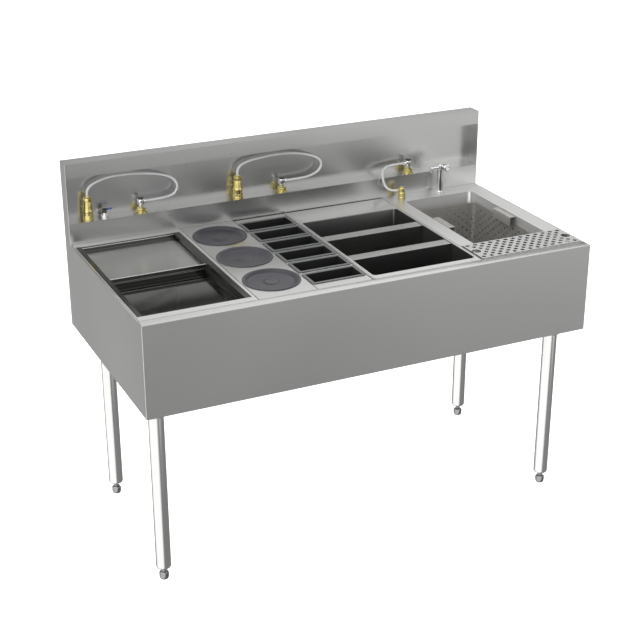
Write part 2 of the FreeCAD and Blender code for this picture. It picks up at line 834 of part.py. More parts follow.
def sink_drain():
    body = new_body("sink_drain")
    flange = "sink_drain_radius + drain_lip"
    bore = "sink_drain_radius - drain_wall"
    tail_bore = "sink_tail_radius - sink_tail_wall"
    cup_bottom = "sink_floor - sink_cup_depth"
    outline = [
        (tail_bore, cup_bottom + " - sink_cup_taper + 2 * drain_wall"),
        (bore, cup_bottom + " + drain_wall"),
        (bore, "sink_floor + drain_flange"),
        (flange, "sink_floor + drain_flange / 2"),
        (flange, "sink_floor"),
        ("sink_drain_radius", "sink_floor"),
        ("sink_drain_radius", "sink_floor - steel"),
        (flange, "sink_floor - steel"),
        (flange, "sink_floor - steel - locknut"),
        ("sink_drain_radius", "sink_floor - steel - locknut"),
        ("sink_drain_radius", cup_bottom),
        ("sink_tail_radius", cup_bottom + " - sink_cup_taper"),
        ("sink_tail_radius", "apron_bottom - tail_reach"),
        (tail_bore, "apron_bottom - tail_reach"),
    ]
    turned(body, outline)
    move_to(body, "sink_middle_x", "sink_middle_y")


def staggered(u_middle, u_length, v_middle, v_length, pitch, row_pitch, margin):
    """Centres of round holes in staggered rows over a face: offsets and their formulas."""
    rows = int((v_length - 2 * margin) / value(row_pitch))
    columns = int((u_length - 2 * margin) / value(pitch))
    spots = []
    for row in range(rows + 1):
        shifted = row % 2
        for column in range(columns + 1 - shifted):
            u = column - (columns - shifted) / 2
            v = row - rows / 2
            spots.append((u * value(pitch), v * value(row_pitch),
                          "%s + (%s) * %s" % (u_middle, u, pitch),
                          "%s + (%s) * %s" % (v_middle, v, row_pitch)))
    return spots


def basket_holes(u_middle, u_length, v_middle, v_length):
    """Circles of one face of the basket."""
    margin = value("basket_corner") + 2 * value("basket_hole_radius")
    spots = staggered(u_middle, u_length, v_middle, v_length,
                      "basket_hole_pitch", "basket_hole_row", margin)
    return [(u, v, "basket_hole_radius") for _, _, u, v in spots]


def sink_basket():
    """A perforated lift-out basket with four feet and a folded grip on each long side."""
    body = new_body("sink_basket")
    outer = ("basket_left", "basket_right", "basket_front", "basket_back", "basket_corner")
    slab(body, [outer], "basket_top", "basket_depth")
    inner = ("basket_left + basket_sheet", "basket_right - basket_sheet",
             "basket_front + basket_sheet", "basket_back - basket_sheet",
             "basket_corner - basket_sheet")
    hollow(body, [inner], "basket_top", "basket_depth - basket_sheet")
    box = body.Shape.BoundBox
    middle_z = "basket_floor + basket_depth / 2"
    sides = basket_holes("basket_middle_y", box.YLength, middle_z, box.ZLength)
    drawing = flat_sketch(body, "YZ_Plane", "basket_right + 1", sides)
    feature(body, "Pocket", drawing, "basket_right - basket_left + 2")
    ends = basket_holes("sink_middle_x", box.XLength, middle_z, box.ZLength)
    drawing = flat_sketch(body, "XZ_Plane", "-(basket_front - 1)", ends)
    feature(body, "Pocket", drawing, "basket_length + 2")
    base = basket_holes("sink_middle_x", box.XLength, "basket_middle_y", box.YLength)
    hollow(body, base, "basket_floor + basket_sheet + 1", "basket_sheet + 2")
    y0 = "basket_middle_y - handle_length / 2"
    y1 = "basket_middle_y + handle_length / 2"
    for edge, inward in (("basket_left", "+"), ("basket_right", "-")):
        def at(distance):
            return "%s %s (%s)" % (edge, inward, distance)
        grip = [
            (edge, "basket_top"),
            (edge, "deck_height"),
            (at("handle_width"), "deck_height"),
            (at("handle_width"), "basket_top - handle_turn"),
            (at("handle_width - steel"), "basket_top - handle_turn"),
            (at("handle_width - steel"), "deck_height - steel"),
            (at("basket_sheet"), "deck_height - steel"),
            (at("basket_sheet"), "basket_top"),
        ]
        along_y(body, grip, y0, y1)
    feet = [(x, y, "basket_foot_radius")
            for x in ("basket_left + basket_foot_inset", "basket_right - basket_foot_inset")
            for y in ("basket_front + basket_foot_inset", "basket_back - basket_foot_inset")]
    slab(body, feet, "basket_floor", "basket_floor - sink_floor")


def drain_plate():
    """A perforated tray turned upside down in the recess, with two finger holes."""
    body = new_body("drain_plate")
    outer = rectangle("plate_left", "plate_right", "plate_front", "plate_back")
    top = "deck_height + plate_thickness"
    slab(body, [outer], top, top + " - recess_floor")
    inner = rectangle("plate_left + plate_thickness", "plate_right - plate_thickness",
                      "plate_front + plate_thickness", "plate_back - plate_thickness")
    hollow_upward(body, [inner], "recess_floor", "deck_height - recess_floor")
    box = body.Shape.BoundBox
    fingers = [("plate_middle_x %s finger_reach" % sign, "plate_middle_y", "finger_radius")
               for sign in "-+"]
    hollow(body, fingers, top + " + 1", "plate_thickness + 2")
    spots = staggered("plate_middle_x", box.XLength, "plate_middle_y", box.YLength,
                      "plate_hole_pitch", "plate_hole_row", value("plate_hole_margin"))
    clear = value("finger_radius") + 1.5 * value("plate_hole_radius")
    holes = [(x, y, "plate_hole_radius") for u, v, x, y in spots
             if math.hypot(abs(u) - value("finger_reach"), v) > clear]
    hollow(body, holes, top + " + 1", "plate_thickness + 2")


# ------------------------------------------------------------------ legs
def leg_channel(name, middle):
    """A folded channel under the deck units that carries two legs."""
    body = new_body(name)
    x0 = middle + " - channel_width / 2"
    x1 = middle + " + channel_width / 2"
    outline = [
        (x0, "channel_bottom"),
        (x0, "shell_bottom"),
        (x0 + " + channel_steel", "shell_bottom"),
        (x0 + " + channel_steel", "channel_bottom + channel_steel"),
        (x1 + " - channel_steel", "channel_bottom + channel_steel"),
        (x1 + " - channel_steel", "shell_bottom"),
        (x1, "shell_bottom"),
        (x1, "channel_bottom"),
    ]
    along_y(body, outline, "front + steel + seam", "back - steel - seam")


def leg(name, x, y):
    """A round tube with a tapered plug that takes the foot's stem."""
    body = new_body(name)
    bore = "foot_stem_radius + foot_stem_play"
    outline = [
        (bore, "foot_gap"),
        ("leg_radius - leg_taper", "foot_gap"),
        ("leg_radius", "foot_gap + leg_taper"),
        ("leg_radius", "leg_top"),
        ("leg_radius - leg_wall", "leg_top"),
        ("leg_radius - leg_wall", "foot_gap + leg_plug"),
        (bore, "foot_gap + leg_plug"),
    ]
    turned(body, outline)
    move_to(body, x, y)


def leg_sockets(places):
    """Collars under square plates, welded to the channels, that the legs push into."""
    body = new_body("leg_sockets")
    half = "socket_plate / 2"
    plates = [rectangle("%s - %s" % (x, half), "%s + %s" % (x, half),
                        "%s - %s" % (y, half), "%s + %s" % (y, half)) for x, y in places]
    slab(body, plates, "socket_top", "socket_plate_thickness")
    inner = "leg_radius + leg_clearance"
    slab(body, [(x, y, inner + " + socket_wall") for x, y in places], "leg_top", "socket_height")
    hollow(body, [(x, y, inner) for x, y in places], "leg_top", "socket_height + 1")


def foot(name, x, y):
    """A bullet foot on a threaded stem."""
    body = new_body(name)
    outline = [
        ("0", "0"),
        ("foot_radius * 0.7", "0"),
        ("foot_radius", "foot_base"),
        ("foot_radius", "foot_height * 0.86"),
        ("foot_radius * 0.75", "foot_height"),
        ("foot_stem_radius", "foot_height"),
        ("foot_stem_radius", "foot_height + foot_stem_length"),
        ("0", "foot_height + foot_stem_length"),
    ]
    turned(body, outline)
    move_to(body, x, y)


# ------------------------------------------------------------------ water fittings
def shank_and(outline):
    """A half profile that stands on a shank let down through the steel."""
    shank = [("0", "-shank_length"), ("shank_radius", "-shank_length"), ("shank_radius", "0")]
    return shank + outline


def check_valve(name, x):
    """A turned brass valve with a broad collar, a waist and a hose tail."""
    body = new_body(name)
    wide = "check_valve_radius"
    tall = "check_valve_height"
    turned(body, shank_and([
        (wide, "0"),
        (wide, "flange_thickness"),
        (wide + " - 1", "flange_thickness + 1"),
        (wide + " - 1", tall + " * 0.32"),
        (wide, tall + " * 0.34"),
        (wide, tall + " * 0.40"),
        (wide + " - 1.5", tall + " * 0.43"),
        (wide + " - 3.5", tall + " * 0.72"),
        (wide + " - 5", tall + " * 0.76"),
        (wide + " - 5", tall + " * 0.80"),
        (wide + " - 3.5", tall + " * 0.82"),
        (wide + " - 3.5", tall + " * 0.93"),
        (wide + " - 8", tall),
        ("0", tall),
    ]))
    move_to(body, x, "fitting_y", "shelf_top")


def ball_valve(x):
    """A small chromed valve body with a stem for its lever."""
    body = new_body("ball_valve")
    turned(body, shank_and([
        ("shank_radius + 3", "0"),
        ("shank_radius + 3", "flange_thickness + 2"),
        ("shank_radius", "flange_thickness + 3"),
        ("shank_radius", "ball_valve_height - 4"),
        ("shank_radius - 2", "ball_valve_height"),
        ("lever_stem", "ball_valve_height"),
        ("lever_stem", "ball_valve_height + lever_thickness + 1"),
        ("0", "ball_valve_height + lever_thickness + 1"),
    ]))
    move_to(body, x, "fitting_y", "shelf_top")


def ball_valve_lever(x):
    """A flat lever that turns on the valve's stem."""
    body = new_body("ball_valve_lever")
    top = "ball_valve_height + lever_thickness"
    outline = [
        ("-shank_radius", "-lever_width / 2"),
        ("lever_length", "-lever_width * 0.4"),
        ("lever_length", "lever_width * 0.4"),
        ("-shank_radius", "lever_width / 2"),
    ]
    slab(body, [outline], top, "lever_thickness")
    hollow(body, [("0", "0", "lever_stem + turning_play")], top + " + 1", "lever_thickness + 2")
    move_to(body, x, "fitting_y", "shelf_top")


def outlet_base(name, x):
    """A low brass boss on which an outlet head stands."""
    body = new_body(name)
    turned(body, shank_and([
        ("outlet_base_radius", "0"),
        ("outlet_base_radius", "flange_thickness"),
        ("outlet_base_radius * 0.72", "flange_thickness + 1"),
        ("outlet_base_radius * 0.72", "outlet_base_height - 2"),
        ("outlet_base_radius * 0.5", "outlet_base_height"),
        ("0", "outlet_base_height"),
    ]))
    move_to(body, x, "fitting_y", "shelf_top")


def outlet_head(name, x, side):
    """An upright neck, a capped head and a barrel that looks along X at the hose."""
    body = new_body(name)
    slab(body, [("0", "0", "outlet_neck")], "outlet_height",
         "outlet_height - outlet_base_height")
    slab(body, [("0", "0", "outlet_neck * 1.45")], "outlet_height + outlet_neck * 1.2",
         "outlet_neck * 2.4")
    slab(body, [("0", "0", "outlet_neck * 1.2")], "outlet_height + outlet_neck * 1.8",
         "outlet_neck * 0.6")
    drawing = flat_sketch(body, "YZ_Plane", "0", [("0", "outlet_height", "outlet_neck")])
    feature(body, "Pad", drawing, "outlet_barrel", side == "left")
    move_to(body, x, "fitting_y", "shelf_top")


def deck_fitting(x):
    """A brass fitting behind the bowl with a hose tail that looks to the left."""
    body = new_body("deck_fitting")
    turned(body, shank_and([
        ("shank_radius * 1.6", "0"),
        ("shank_radius * 1.6", "deck_fitting_height * 0.55"),
        ("shank_radius * 1.25", "deck_fitting_height * 0.6"),
        ("shank_radius * 1.25", "deck_fitting_height * 0.9"),
        ("shank_radius", "deck_fitting_height"),
        ("0", "deck_fitting_height"),
    ]))
    level = "deck_fitting_height * 0.75"
    drawing = flat_sketch(body, "YZ_Plane", "0", [("0", level, "hose_radius + 1.5")])
    feature(body, "Pad", drawing, "outlet_barrel", True)
    move_to(body, x, "tap_y", "deck_height")


def faucet(x):
    """A slim tap: flange, column, crosswise housing and a spout that turns down."""
    body = new_body("faucet")
    housing_low = "faucet_height - faucet_housing"
    housing_high = "faucet_height + faucet_housing * 0.8"
    turned(body, shank_and([
        ("shank_radius * 2", "0"),
        ("shank_radius * 2", "flange_thickness"),
        ("faucet_column", "flange_thickness * 2"),
        ("faucet_column", housing_low + " - flange_thickness"),
        ("faucet_housing", housing_low),
        ("faucet_housing", housing_high),
        ("faucet_column", housing_high + " + flange_thickness"),
        ("0", housing_high + " + flange_thickness"),
    ]))
    drawing = flat_sketch(body, "YZ_Plane", "-faucet_spout",
                          [("0", "faucet_height", "faucet_tube * 0.9")])
    feature(body, "Pad", drawing, "faucet_spout + faucet_knob_shift")
    slab(body, [("-faucet_spout", "0", "faucet_tube * 0.9")], "faucet_height", "outlet_barrel")
    drawing = flat_sketch(body, "XZ_Plane", "faucet_housing",
                          [("faucet_knob_shift", "faucet_height", "faucet_housing * 0.9")])
    feature(body, "Pad", drawing, "faucet_housing * 2", True)
    move_to(body, x, "tap_y", "deck_height")


def faucet_knob(x):
    """A round knob that faces the front and turns the tap on."""
    body = new_body("faucet_knob")
    drawing = flat_sketch(body, "XZ_Plane", "faucet_housing",
                          [("faucet_knob_shift", "faucet_height", "faucet_knob_radius")])
    feature(body, "Pad", drawing, "faucet_knob_depth")
    move_to(body, x, "tap_y", "deck_height")


# ------------------------------------------------------------------ hoses
ARC_SHARE = 0.45


def hose(name, start, end, from_start, to_end):
    """A tube of straight runs and tangent arcs. Its first points are measured from the fitting
    that it leaves and its last ones from the fitting that it enters."""
    points = [FreeCAD.Vector(*step) for step in from_start]
    points += [end - start + FreeCAD.Vector(*step) for step in to_end]
    edges = []
    last = points[0]
    radii = []
    for before, corner, after in zip(points, points[1:], points[2:]):
        arrive = corner - before
        leave = after - corner
        half_turn = arrive.getAngle(leave) / 2
        setback = ARC_SHARE * min(arrive.Length, leave.Length)
        radius = setback / math.tan(half_turn)
        radii.append(round(radius, 1))
        arrive.normalize()
        leave.normalize()
        entry = corner - arrive * setback
        way_out = corner + leave * setback
        inward = leave - arrive
        inward.normalize()
        middle = corner + inward * (radius / math.cos(half_turn) - radius)
        edges.append(Part.LineSegment(last, entry).toShape())
        edges.append(Part.Arc(entry, middle, way_out).toShape())
        last = way_out
    edges.append(Part.LineSegment(last, points[-1]).toShape())
    path = Part.Wire(edges)
    ring = Part.makeCircle(value("hose_radius"), points[0], points[1] - points[0])
    tube = path.makePipeShell([Part.Wire(ring)], True, False)
    expected = math.pi * value("hose_radius") ** 2 * path.Length
    print(name, "length", round(path.Length, 1), "radii", radii,
          "volume ratio", round(tube.Volume / expected, 4))
    item = doc.addObject("Part::Feature", name)
    item.Label = name
    item.Shape = tube
    item.Placement = FreeCAD.Placement(start, FreeCAD.Rotation())
    BODIES.append(item)


def shelf_spot(reach, side_step, height):
    """A point over the splash's shelf."""
    x = value(reach) - value("width") / 2 + side_step
    y = (value("depth") - value("splash_depth") - value("steel")) / 2
    return FreeCAD.Vector(x, y, value("deck_height") + value("riser_height") + height)


def deck_spot(reach, side_step, height):
    """A point over the strip behind the bowl."""
    x = reach - value("width") / 2 + side_step
    y = value("depth") / 2 - value("splash_depth") - value("faucet_setback")
    return FreeCAD.Vector(x, y, value("deck_height") + height)


# ------------------------------------------------------------------ build
DISH_ROWS = {
    "rimmer_dish_front": "rimmer_middle_y - dish_pitch",
    "rimmer_dish_middle": "rimmer_middle_y",
    "rimmer_dish_rear": "rimmer_middle_y + dish_pitch",
}
PAN_ROWS = ["unit_middle_y + (%s) * condiment_pitch" % (i - 2.5) for i in range(6)]
LEGS = {
    "front_left": ("left + leg_inset_front_left", "front + leg_front"),
    "back_left": ("left + leg_inset_back_left", "back - leg_back"),
    "front_right": ("right - leg_inset_right", "front + leg_front"),
    "back_right": ("right - leg_inset_right", "back - leg_back"),
}
VALVES = {
    "left_check_valve": "left + left_valve_reach",
    "middle_check_valve": "left + middle_valve_reach",
}
OUTLETS = {
    "left_outlet": ("left + left_outlet_reach", "right"),
    "middle_outlet": ("left + middle_outlet_reach", "right"),
    "right_outlet": ("left + right_outlet_reach", "left"),
}
BALL_VALVE = "left + ball_valve_reach"
FAUCET = "left + faucet_reach"
DECK_FITTING = FAUCET + " - deck_fitting_spacing"

front_apron()
side_panel("left_side_panel", "left", "+")
side_panel("right_side_panel", "right", "-")
rear_panel()
backsplash(list(VALVES.values()) + [x for x, side in OUTLETS.values()] + [BALL_VALVE])

ice_bin_liner()
ice_bin_wrap("ice_bin_foam", "0", "foam", "ice_floor - steel", "foam_bottom")
ice_bin_wrap("ice_bin_shell", "foam", "shell_steel", "foam_bottom", "shell_bottom")
ice_bin_drain()
lid_track("left_lid_track", "ice_open_left", "+")
lid_track("right_lid_track", "ice_open_right", "-")
sliding_lid("rear_lid", "rear_lid_front", "rear_lid_back", "rear_lid_reach", "upper_shelf")
sliding_lid("front_lid", "front_lid_front", "front_lid_back", "front_lid_reach", "lower_shelf")

rimmer_panel(DISH_ROWS.values())
for dish_name, dish_row in DISH_ROWS.items():
    rimmer_dish(dish_name, dish_row)

condiment_tray(PAN_ROWS)
for number, pan_row in enumerate(PAN_ROWS, start=1):
    condiment_pan("condiment_pan_%d" % number, pan_row)
insert_rail()
bottle_well()
bottle_divider("bottle_divider_rear", 1)
bottle_divider("bottle_divider_front", 2)

sink_bowl([DECK_FITTING, FAUCET])
sink_drain()
sink_basket()
drain_plate()

leg_channel("left_leg_channel", "left + (leg_inset_front_left + leg_inset_back_left) / 2")
leg_channel("right_leg_channel", "right - leg_inset_right")
leg_sockets(LEGS.values())
for corner_name, (leg_x, leg_y) in LEGS.items():
    leg("leg_" + corner_name, leg_x, leg_y)
    foot("foot_" + corner_name, leg_x, leg_y)

for valve_name, valve_x in VALVES.items():
    check_valve(valve_name, valve_x)
ball_valve(BALL_VALVE)
ball_valve_lever(BALL_VALVE)
for outlet_name, (outlet_x, outlet_side) in OUTLETS.items():
    outlet_base(outlet_name + "_base", outlet_x)
    outlet_head(outlet_name + "_head", outlet_x, outlet_side)
deck_fitting(DECK_FITTING)
faucet(FAUCET)
faucet_knob(FAUCET)

VALVE_TOP = value("check_valve_height")
OUTLET = value("outlet_height")
BARREL = value("outlet_barrel")
TAIL_LEVEL = value("deck_fitting_height") * 0.75
hose("left_hose",
     shelf_spot("left_valve_reach", 0, VALVE_TOP),
     shelf_spot("left_outlet_reach", BARREL, OUTLET),
     [(0, 0, 0), (0, 0, 12), (7, 0, 24), (26, 0, 35), (61, 0, 44), (111, 0, 45),
      (169, 0, 39), (217, 0, 27), (239, 0, 13), (248, 0, -3), (245, 0, -19)],
     [(72, 0, 3.5), (32.5, 0, 0), (0, 0, 0)])
hose("middle_hose",
     shelf_spot("middle_valve_reach", 0, VALVE_TOP),
     shelf_spot("middle_outlet_reach", BARREL, OUTLET),
     [(0, 0, 0), (0, 0, 12), (7, 0, 24), (24, 0, 33), (60, 0, 39), (110, 0, 43),
      (160, 0, 41), (202, 0, 33), (232, 0, 21), (247, 0, 10), (251, 0, -2.5), (247, 0, -15)],
     [(89, 0, 9.5), (65, 0, 1.5), (32.5, 0, 0), (0, 0, 0)])
hose("right_hose",
     shelf_spot("right_outlet_reach", -BARREL, OUTLET),
     deck_spot(value("faucet_reach") - value("deck_fitting_spacing"), -BARREL, TAIL_LEVEL),
     [(0, 0, 0), (-26, 0, 0), (-56, 0, -2), (-76, -12, -11)],
     [(-38, 11, 17), (-21, 0, 0), (0, 0, 0)])

# ------------------------------------------------------------------ checks and files
doc.recompute()
for item in doc.Objects:
    if "Invalid" in item.State or "Error" in item.State:
        raise RuntimeError("%s failed: %s" % (item.Label, item.State))
os.makedirs("parts", exist_ok=True)
for body in BODIES:
    shape = body.Shape
    if shape.isNull() or not shape.isValid() or not shape.Solids:
        raise RuntimeError(body.Label + " has no sound solid")
for body in BODIES:
    body.Shape.exportStep("parts/%s.step" % body.Label)
print(len(BODIES), "pieces")
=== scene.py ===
import json
import math

import bmesh
import bpy
import numpy as np
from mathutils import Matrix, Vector


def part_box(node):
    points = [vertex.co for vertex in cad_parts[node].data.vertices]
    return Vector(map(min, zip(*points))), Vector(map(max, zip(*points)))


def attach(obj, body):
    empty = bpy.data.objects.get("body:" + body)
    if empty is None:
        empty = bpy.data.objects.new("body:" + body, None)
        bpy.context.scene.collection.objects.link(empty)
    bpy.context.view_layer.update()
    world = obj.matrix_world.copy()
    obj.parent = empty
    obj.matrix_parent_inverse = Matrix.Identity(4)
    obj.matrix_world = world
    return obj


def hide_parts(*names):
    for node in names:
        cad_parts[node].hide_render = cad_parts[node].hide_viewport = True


bl_info = {
    "name": "Bar Station Look",
    "version": (1, 0, 0),
    "blender": (4, 5, 0),
    "location": "View3D > Sidebar > Station",
    "description": "Dresses the packed bar station: steel, plastics, fittings, hoses and the basket",
    "category": "Object",
}

MM = 0.001
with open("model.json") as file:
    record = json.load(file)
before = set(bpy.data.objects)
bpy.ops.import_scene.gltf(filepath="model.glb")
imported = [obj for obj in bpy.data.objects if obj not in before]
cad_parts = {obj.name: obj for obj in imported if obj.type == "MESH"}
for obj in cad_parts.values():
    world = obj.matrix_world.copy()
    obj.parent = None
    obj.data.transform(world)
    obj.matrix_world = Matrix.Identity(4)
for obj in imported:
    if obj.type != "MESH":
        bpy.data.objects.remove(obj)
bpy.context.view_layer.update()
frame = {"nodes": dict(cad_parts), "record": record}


# Mesh code
def new_object(name, data):
    """An object at the origin, linked to the scene."""
    item = bpy.data.objects.new(name, data)
    bpy.context.scene.collection.objects.link(item)
    return item


def build(name, parts, material, body, node=None, sharp=35.0):
    """Joins (vertices, faces) pairs into one object at the origin and seats it on its body."""
    vertices = []
    faces = []
    count = 0
    for points, quads in parts:
        points = np.asarray(points, dtype=float).reshape(-1, 3)
        vertices.append(points)
        faces += [tuple(int(i) + count for i in face) for face in quads]
        count += len(points)
    mesh = bpy.data.meshes.new(name)
    mesh.from_pydata(np.concatenate(vertices).tolist(), [], faces)
    mesh.validate()
    mesh.update()
    mesh.polygons.foreach_set("use_smooth", [True] * len(mesh.polygons))
    mesh.set_sharp_from_angle(angle=math.radians(sharp))
    piece = new_object(name, mesh)
    mesh.materials.append(material)
    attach(piece, body)
    if node:
        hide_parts(node)
    return piece


def grid_faces(rows, columns):
    """Quads over a grid of points that is closed along its columns."""
    i, j = np.meshgrid(np.arange(rows - 1), np.arange(columns), indexing="ij")
    k = (j + 1) % columns
    quads = np.stack([i * columns + j, i * columns + k, (i + 1) * columns + k,
                      (i + 1) * columns + j], axis=-1)
    return quads.reshape(-1, 4)


def soften(profile, radius=0.6, steps=3):
    """Rounds the corners of a (radius, height, hexness) profile: each becomes the quadratic
    curve that leaves and meets its two sides at the radius, or at 0.45 of a shorter side."""
    rows = np.asarray([tuple(p) + (0.0,) * (3 - len(p)) for p in profile], dtype=float)
    result = [rows[0]]
    for before, corner, after in zip(rows, rows[1:], rows[2:]):
        into = before - corner
        out = after - corner
        reach_in = min(radius, np.linalg.norm(into[:2]) * 0.45)
        reach_out = min(radius, np.linalg.norm(out[:2]) * 0.45)
        start = corner + into / max(np.linalg.norm(into[:2]), 1e-9) * reach_in
        end = corner + out / max(np.linalg.norm(out[:2]), 1e-9) * reach_out
        for t in np.linspace(0, 1, steps):
            result.append((1 - t) ** 2 * start + 2 * t * (1 - t) * corner + t ** 2 * end)
    result.append(rows[-1])
    return np.asarray(result)


def lathe(profile, centre, segments=72, radius=0.6, axis="Z", flutes=0, flute_depth=0.0):
    """A profile in millimetres turned about an axis through a centre in metres: a point is the
    profile's radius times (cosine, sine) of its angle, at the profile's height. A row's third
    number mixes in a hexagon, whose radius is 1 over the cosine of the angle to its flat, and
    flutes take a share off the radius by a cosine of so many turns."""
    rows = soften(profile, radius)
    angle = np.linspace(0, math.tau, segments, endpoint=False)
    sector = (angle + math.pi / 6) % (math.pi / 3) - math.pi / 6
    six = np.minimum(1.0 / np.cos(sector), 1.10) * 0.95
    ring = rows[:, :1] * (1 + rows[:, 2:3] * (six[None, :] - 1))
    if flutes:
        ring = ring * (1 - flute_depth * (0.5 + 0.5 * np.cos(angle * flutes))[None, :])
    x = ring * np.cos(angle)
    y = ring * np.sin(angle)
    z = np.repeat(rows[:, 1:2], segments, axis=1)
    axes = {"Z": (x, y, z), "X": (z, x, y), "Y": (x, z, y), "-Y": (x, -z, y)}[axis]
    points = np.stack(axes, axis=-1) * MM + np.asarray(centre, dtype=float)
    faces = grid_faces(len(rows), segments)
    if axis == "Y":
        faces = faces[:, ::-1]
    quads = [tuple(face) for face in faces]
    first = tuple(range(segments))
    last = tuple(range((len(rows) - 1) * segments, len(rows) * segments))
    return points.reshape(-1, 3), quads + [first[::-1], last]


def smooth_line(points):
    """Points along the NURBS spline of order three that has these points as its controls."""
    curve = bpy.data.curves.new("route", "CURVE")
    curve.dimensions = "3D"
    curve.resolution_u = 12
    spline = curve.splines.new("NURBS")
    spline.points.add(len(points) - 1)
    for control, place in zip(spline.points, points):
        control.co = (*place, 1.0)
    spline.order_u = 3
    spline.use_endpoint_u = True
    holder = bpy.data.objects.new("route", curve)
    line = bpy.data.meshes.new_from_object(holder)
    result = np.empty(len(line.vertices) * 3)
    line.vertices.foreach_get("co", result)
    bpy.data.objects.remove(holder)
    bpy.data.curves.remove(curve)
    bpy.data.meshes.remove(line)
    return result.reshape(-1, 3)


def tube(path, radius, segments=20):
    """A round tube with flat ends: each point of the path plus the radius times (cosine, sine)
    of an angle, in the plane that the path passes squarely."""
    tangent = np.gradient(path, axis=0)
    tangent /= np.linalg.norm(tangent, axis=1, keepdims=True)
    normal = np.cross(tangent, (0.0, 1.0, 0.0))
    normal /= np.linalg.norm(normal, axis=1, keepdims=True)
    other = np.cross(tangent, normal)
    angle = np.linspace(0, math.tau, segments, endpoint=False)[None, :, None]
    ring = normal[:, None] * np.cos(angle) + other[:, None] * np.sin(angle)
    points = path[:, None] + radius * ring
    quads = [tuple(face) for face in grid_faces(len(path), segments)[:, ::-1]]
    last = (len(path) - 1) * segments
    ends = [tuple(range(segments)), tuple(range(last + segments - 1, last - 1, -1))]
    return points.reshape(-1, 3), quads + ends


def perforated(columns, rows, pitch, row_pitch, hole, thickness, place, wrap):
    """Staggered round holes in a sheet laid out in u and v. A cell joins a circle of 16 points
    to the cell's edge in the same 16 directions, and every second row is half a pitch on.
    place(u, v, w) sets it in space, w is 0 on one face and 1 on the other, and wrap closes the
    sheet along u."""
    directions = np.arange(16) * math.tau / 16
    unit = np.stack([np.cos(directions), np.sin(directions)], axis=-1)
    square = unit / np.abs(unit).max(axis=1, keepdims=True)
    cell = square * (pitch / 2, row_pitch / 2)
    ring = unit * hole
    points = []
    faces = []
    offset = 0
    around = np.arange(16)
    following = (around + 1) % 16
    for row in range(rows):
        shift = (row % 2) * pitch / 2
        count = columns if wrap or row % 2 == 0 else columns - 1
        u = (np.arange(count) + 0.5) * pitch + shift
        v = (row + 0.5) * row_pitch
        centre = np.stack([u, np.full(count, v)], axis=-1)[:, None]
        rings = np.stack([centre + ring, centre + cell], axis=1)
        for w in (0.0, 1.0):
            points.append(place(rings[..., 0], rings[..., 1], w).reshape(-1, 3))
        base = offset + (np.arange(count) * 32)[:, None]
        flip = offset + count * 32 + (np.arange(count) * 32)[:, None]
        lower = np.stack([base + around, base + following, base + 16 + following,
                          base + 16 + around], axis=-1)
        upper = np.stack([flip + around, flip + 16 + around, flip + 16 + following,
                          flip + following], axis=-1)
        wall = np.stack([base + around, flip + around, flip + following, base + following],
                        axis=-1)
        faces += [lower.reshape(-1, 4), upper.reshape(-1, 4), wall.reshape(-1, 4)]
        offset += count * 64
        if not wrap and row % 2:
            for start in (0.0, pitch * (columns - 0.5)):
                corners = np.array([[start, v - row_pitch / 2], [start + pitch / 2,
                                    v - row_pitch / 2], [start + pitch / 2, v + row_pitch / 2],
                                    [start, v + row_pitch / 2]])
                for w in (0.0, 1.0):
                    points.append(place(corners[:, 0], corners[:, 1], w).reshape(-1, 3))
                faces.append(np.array([[3, 2, 1, 0], [4, 5, 6, 7]]) + offset)
                offset += 8
    return np.concatenate(points), [tuple(f) for f in np.concatenate(faces)]


def folded_strip(path, thickness, start, end):
    """A bent strip: a path in X and Z, in metres, and its copy moved along the mean of its
    sides' normals by the thickness, both run from start to end along Y."""
    line = np.asarray(path, dtype=float)
    step = np.diff(line, axis=0)
    step /= np.linalg.norm(step, axis=1, keepdims=True)
    normals = np.stack([-step[:, 1], step[:, 0]], axis=-1)
    inner = np.concatenate([normals[:1], normals[:-1] + normals[1:], normals[-1:]])
    scale = np.concatenate([[1.0], 1 + (normals[:-1] * normals[1:]).sum(axis=1), [1.0]])
    offset = line + inner / scale[:, None] * thickness
    loop = np.concatenate([line, offset[::-1]])
    count = len(loop)
    points = np.stack([np.stack([loop[:, 0], np.full(count, y), loop[:, 1]], axis=-1)
                       for y in (start, end)])
    around = np.arange(count)
    following = (around + 1) % count
    quads = np.stack([around, following, following + count, around + count], axis=-1)
    half = len(line)
    caps = []
    for i in range(half - 1):
        a, b, c, d = i, i + 1, count - 2 - i, count - 1 - i
        caps.append((d, c, b, a))
        caps.append((a + count, b + count, c + count, d + count))
    return points.reshape(-1, 3), [tuple(q) for q in quads] + caps


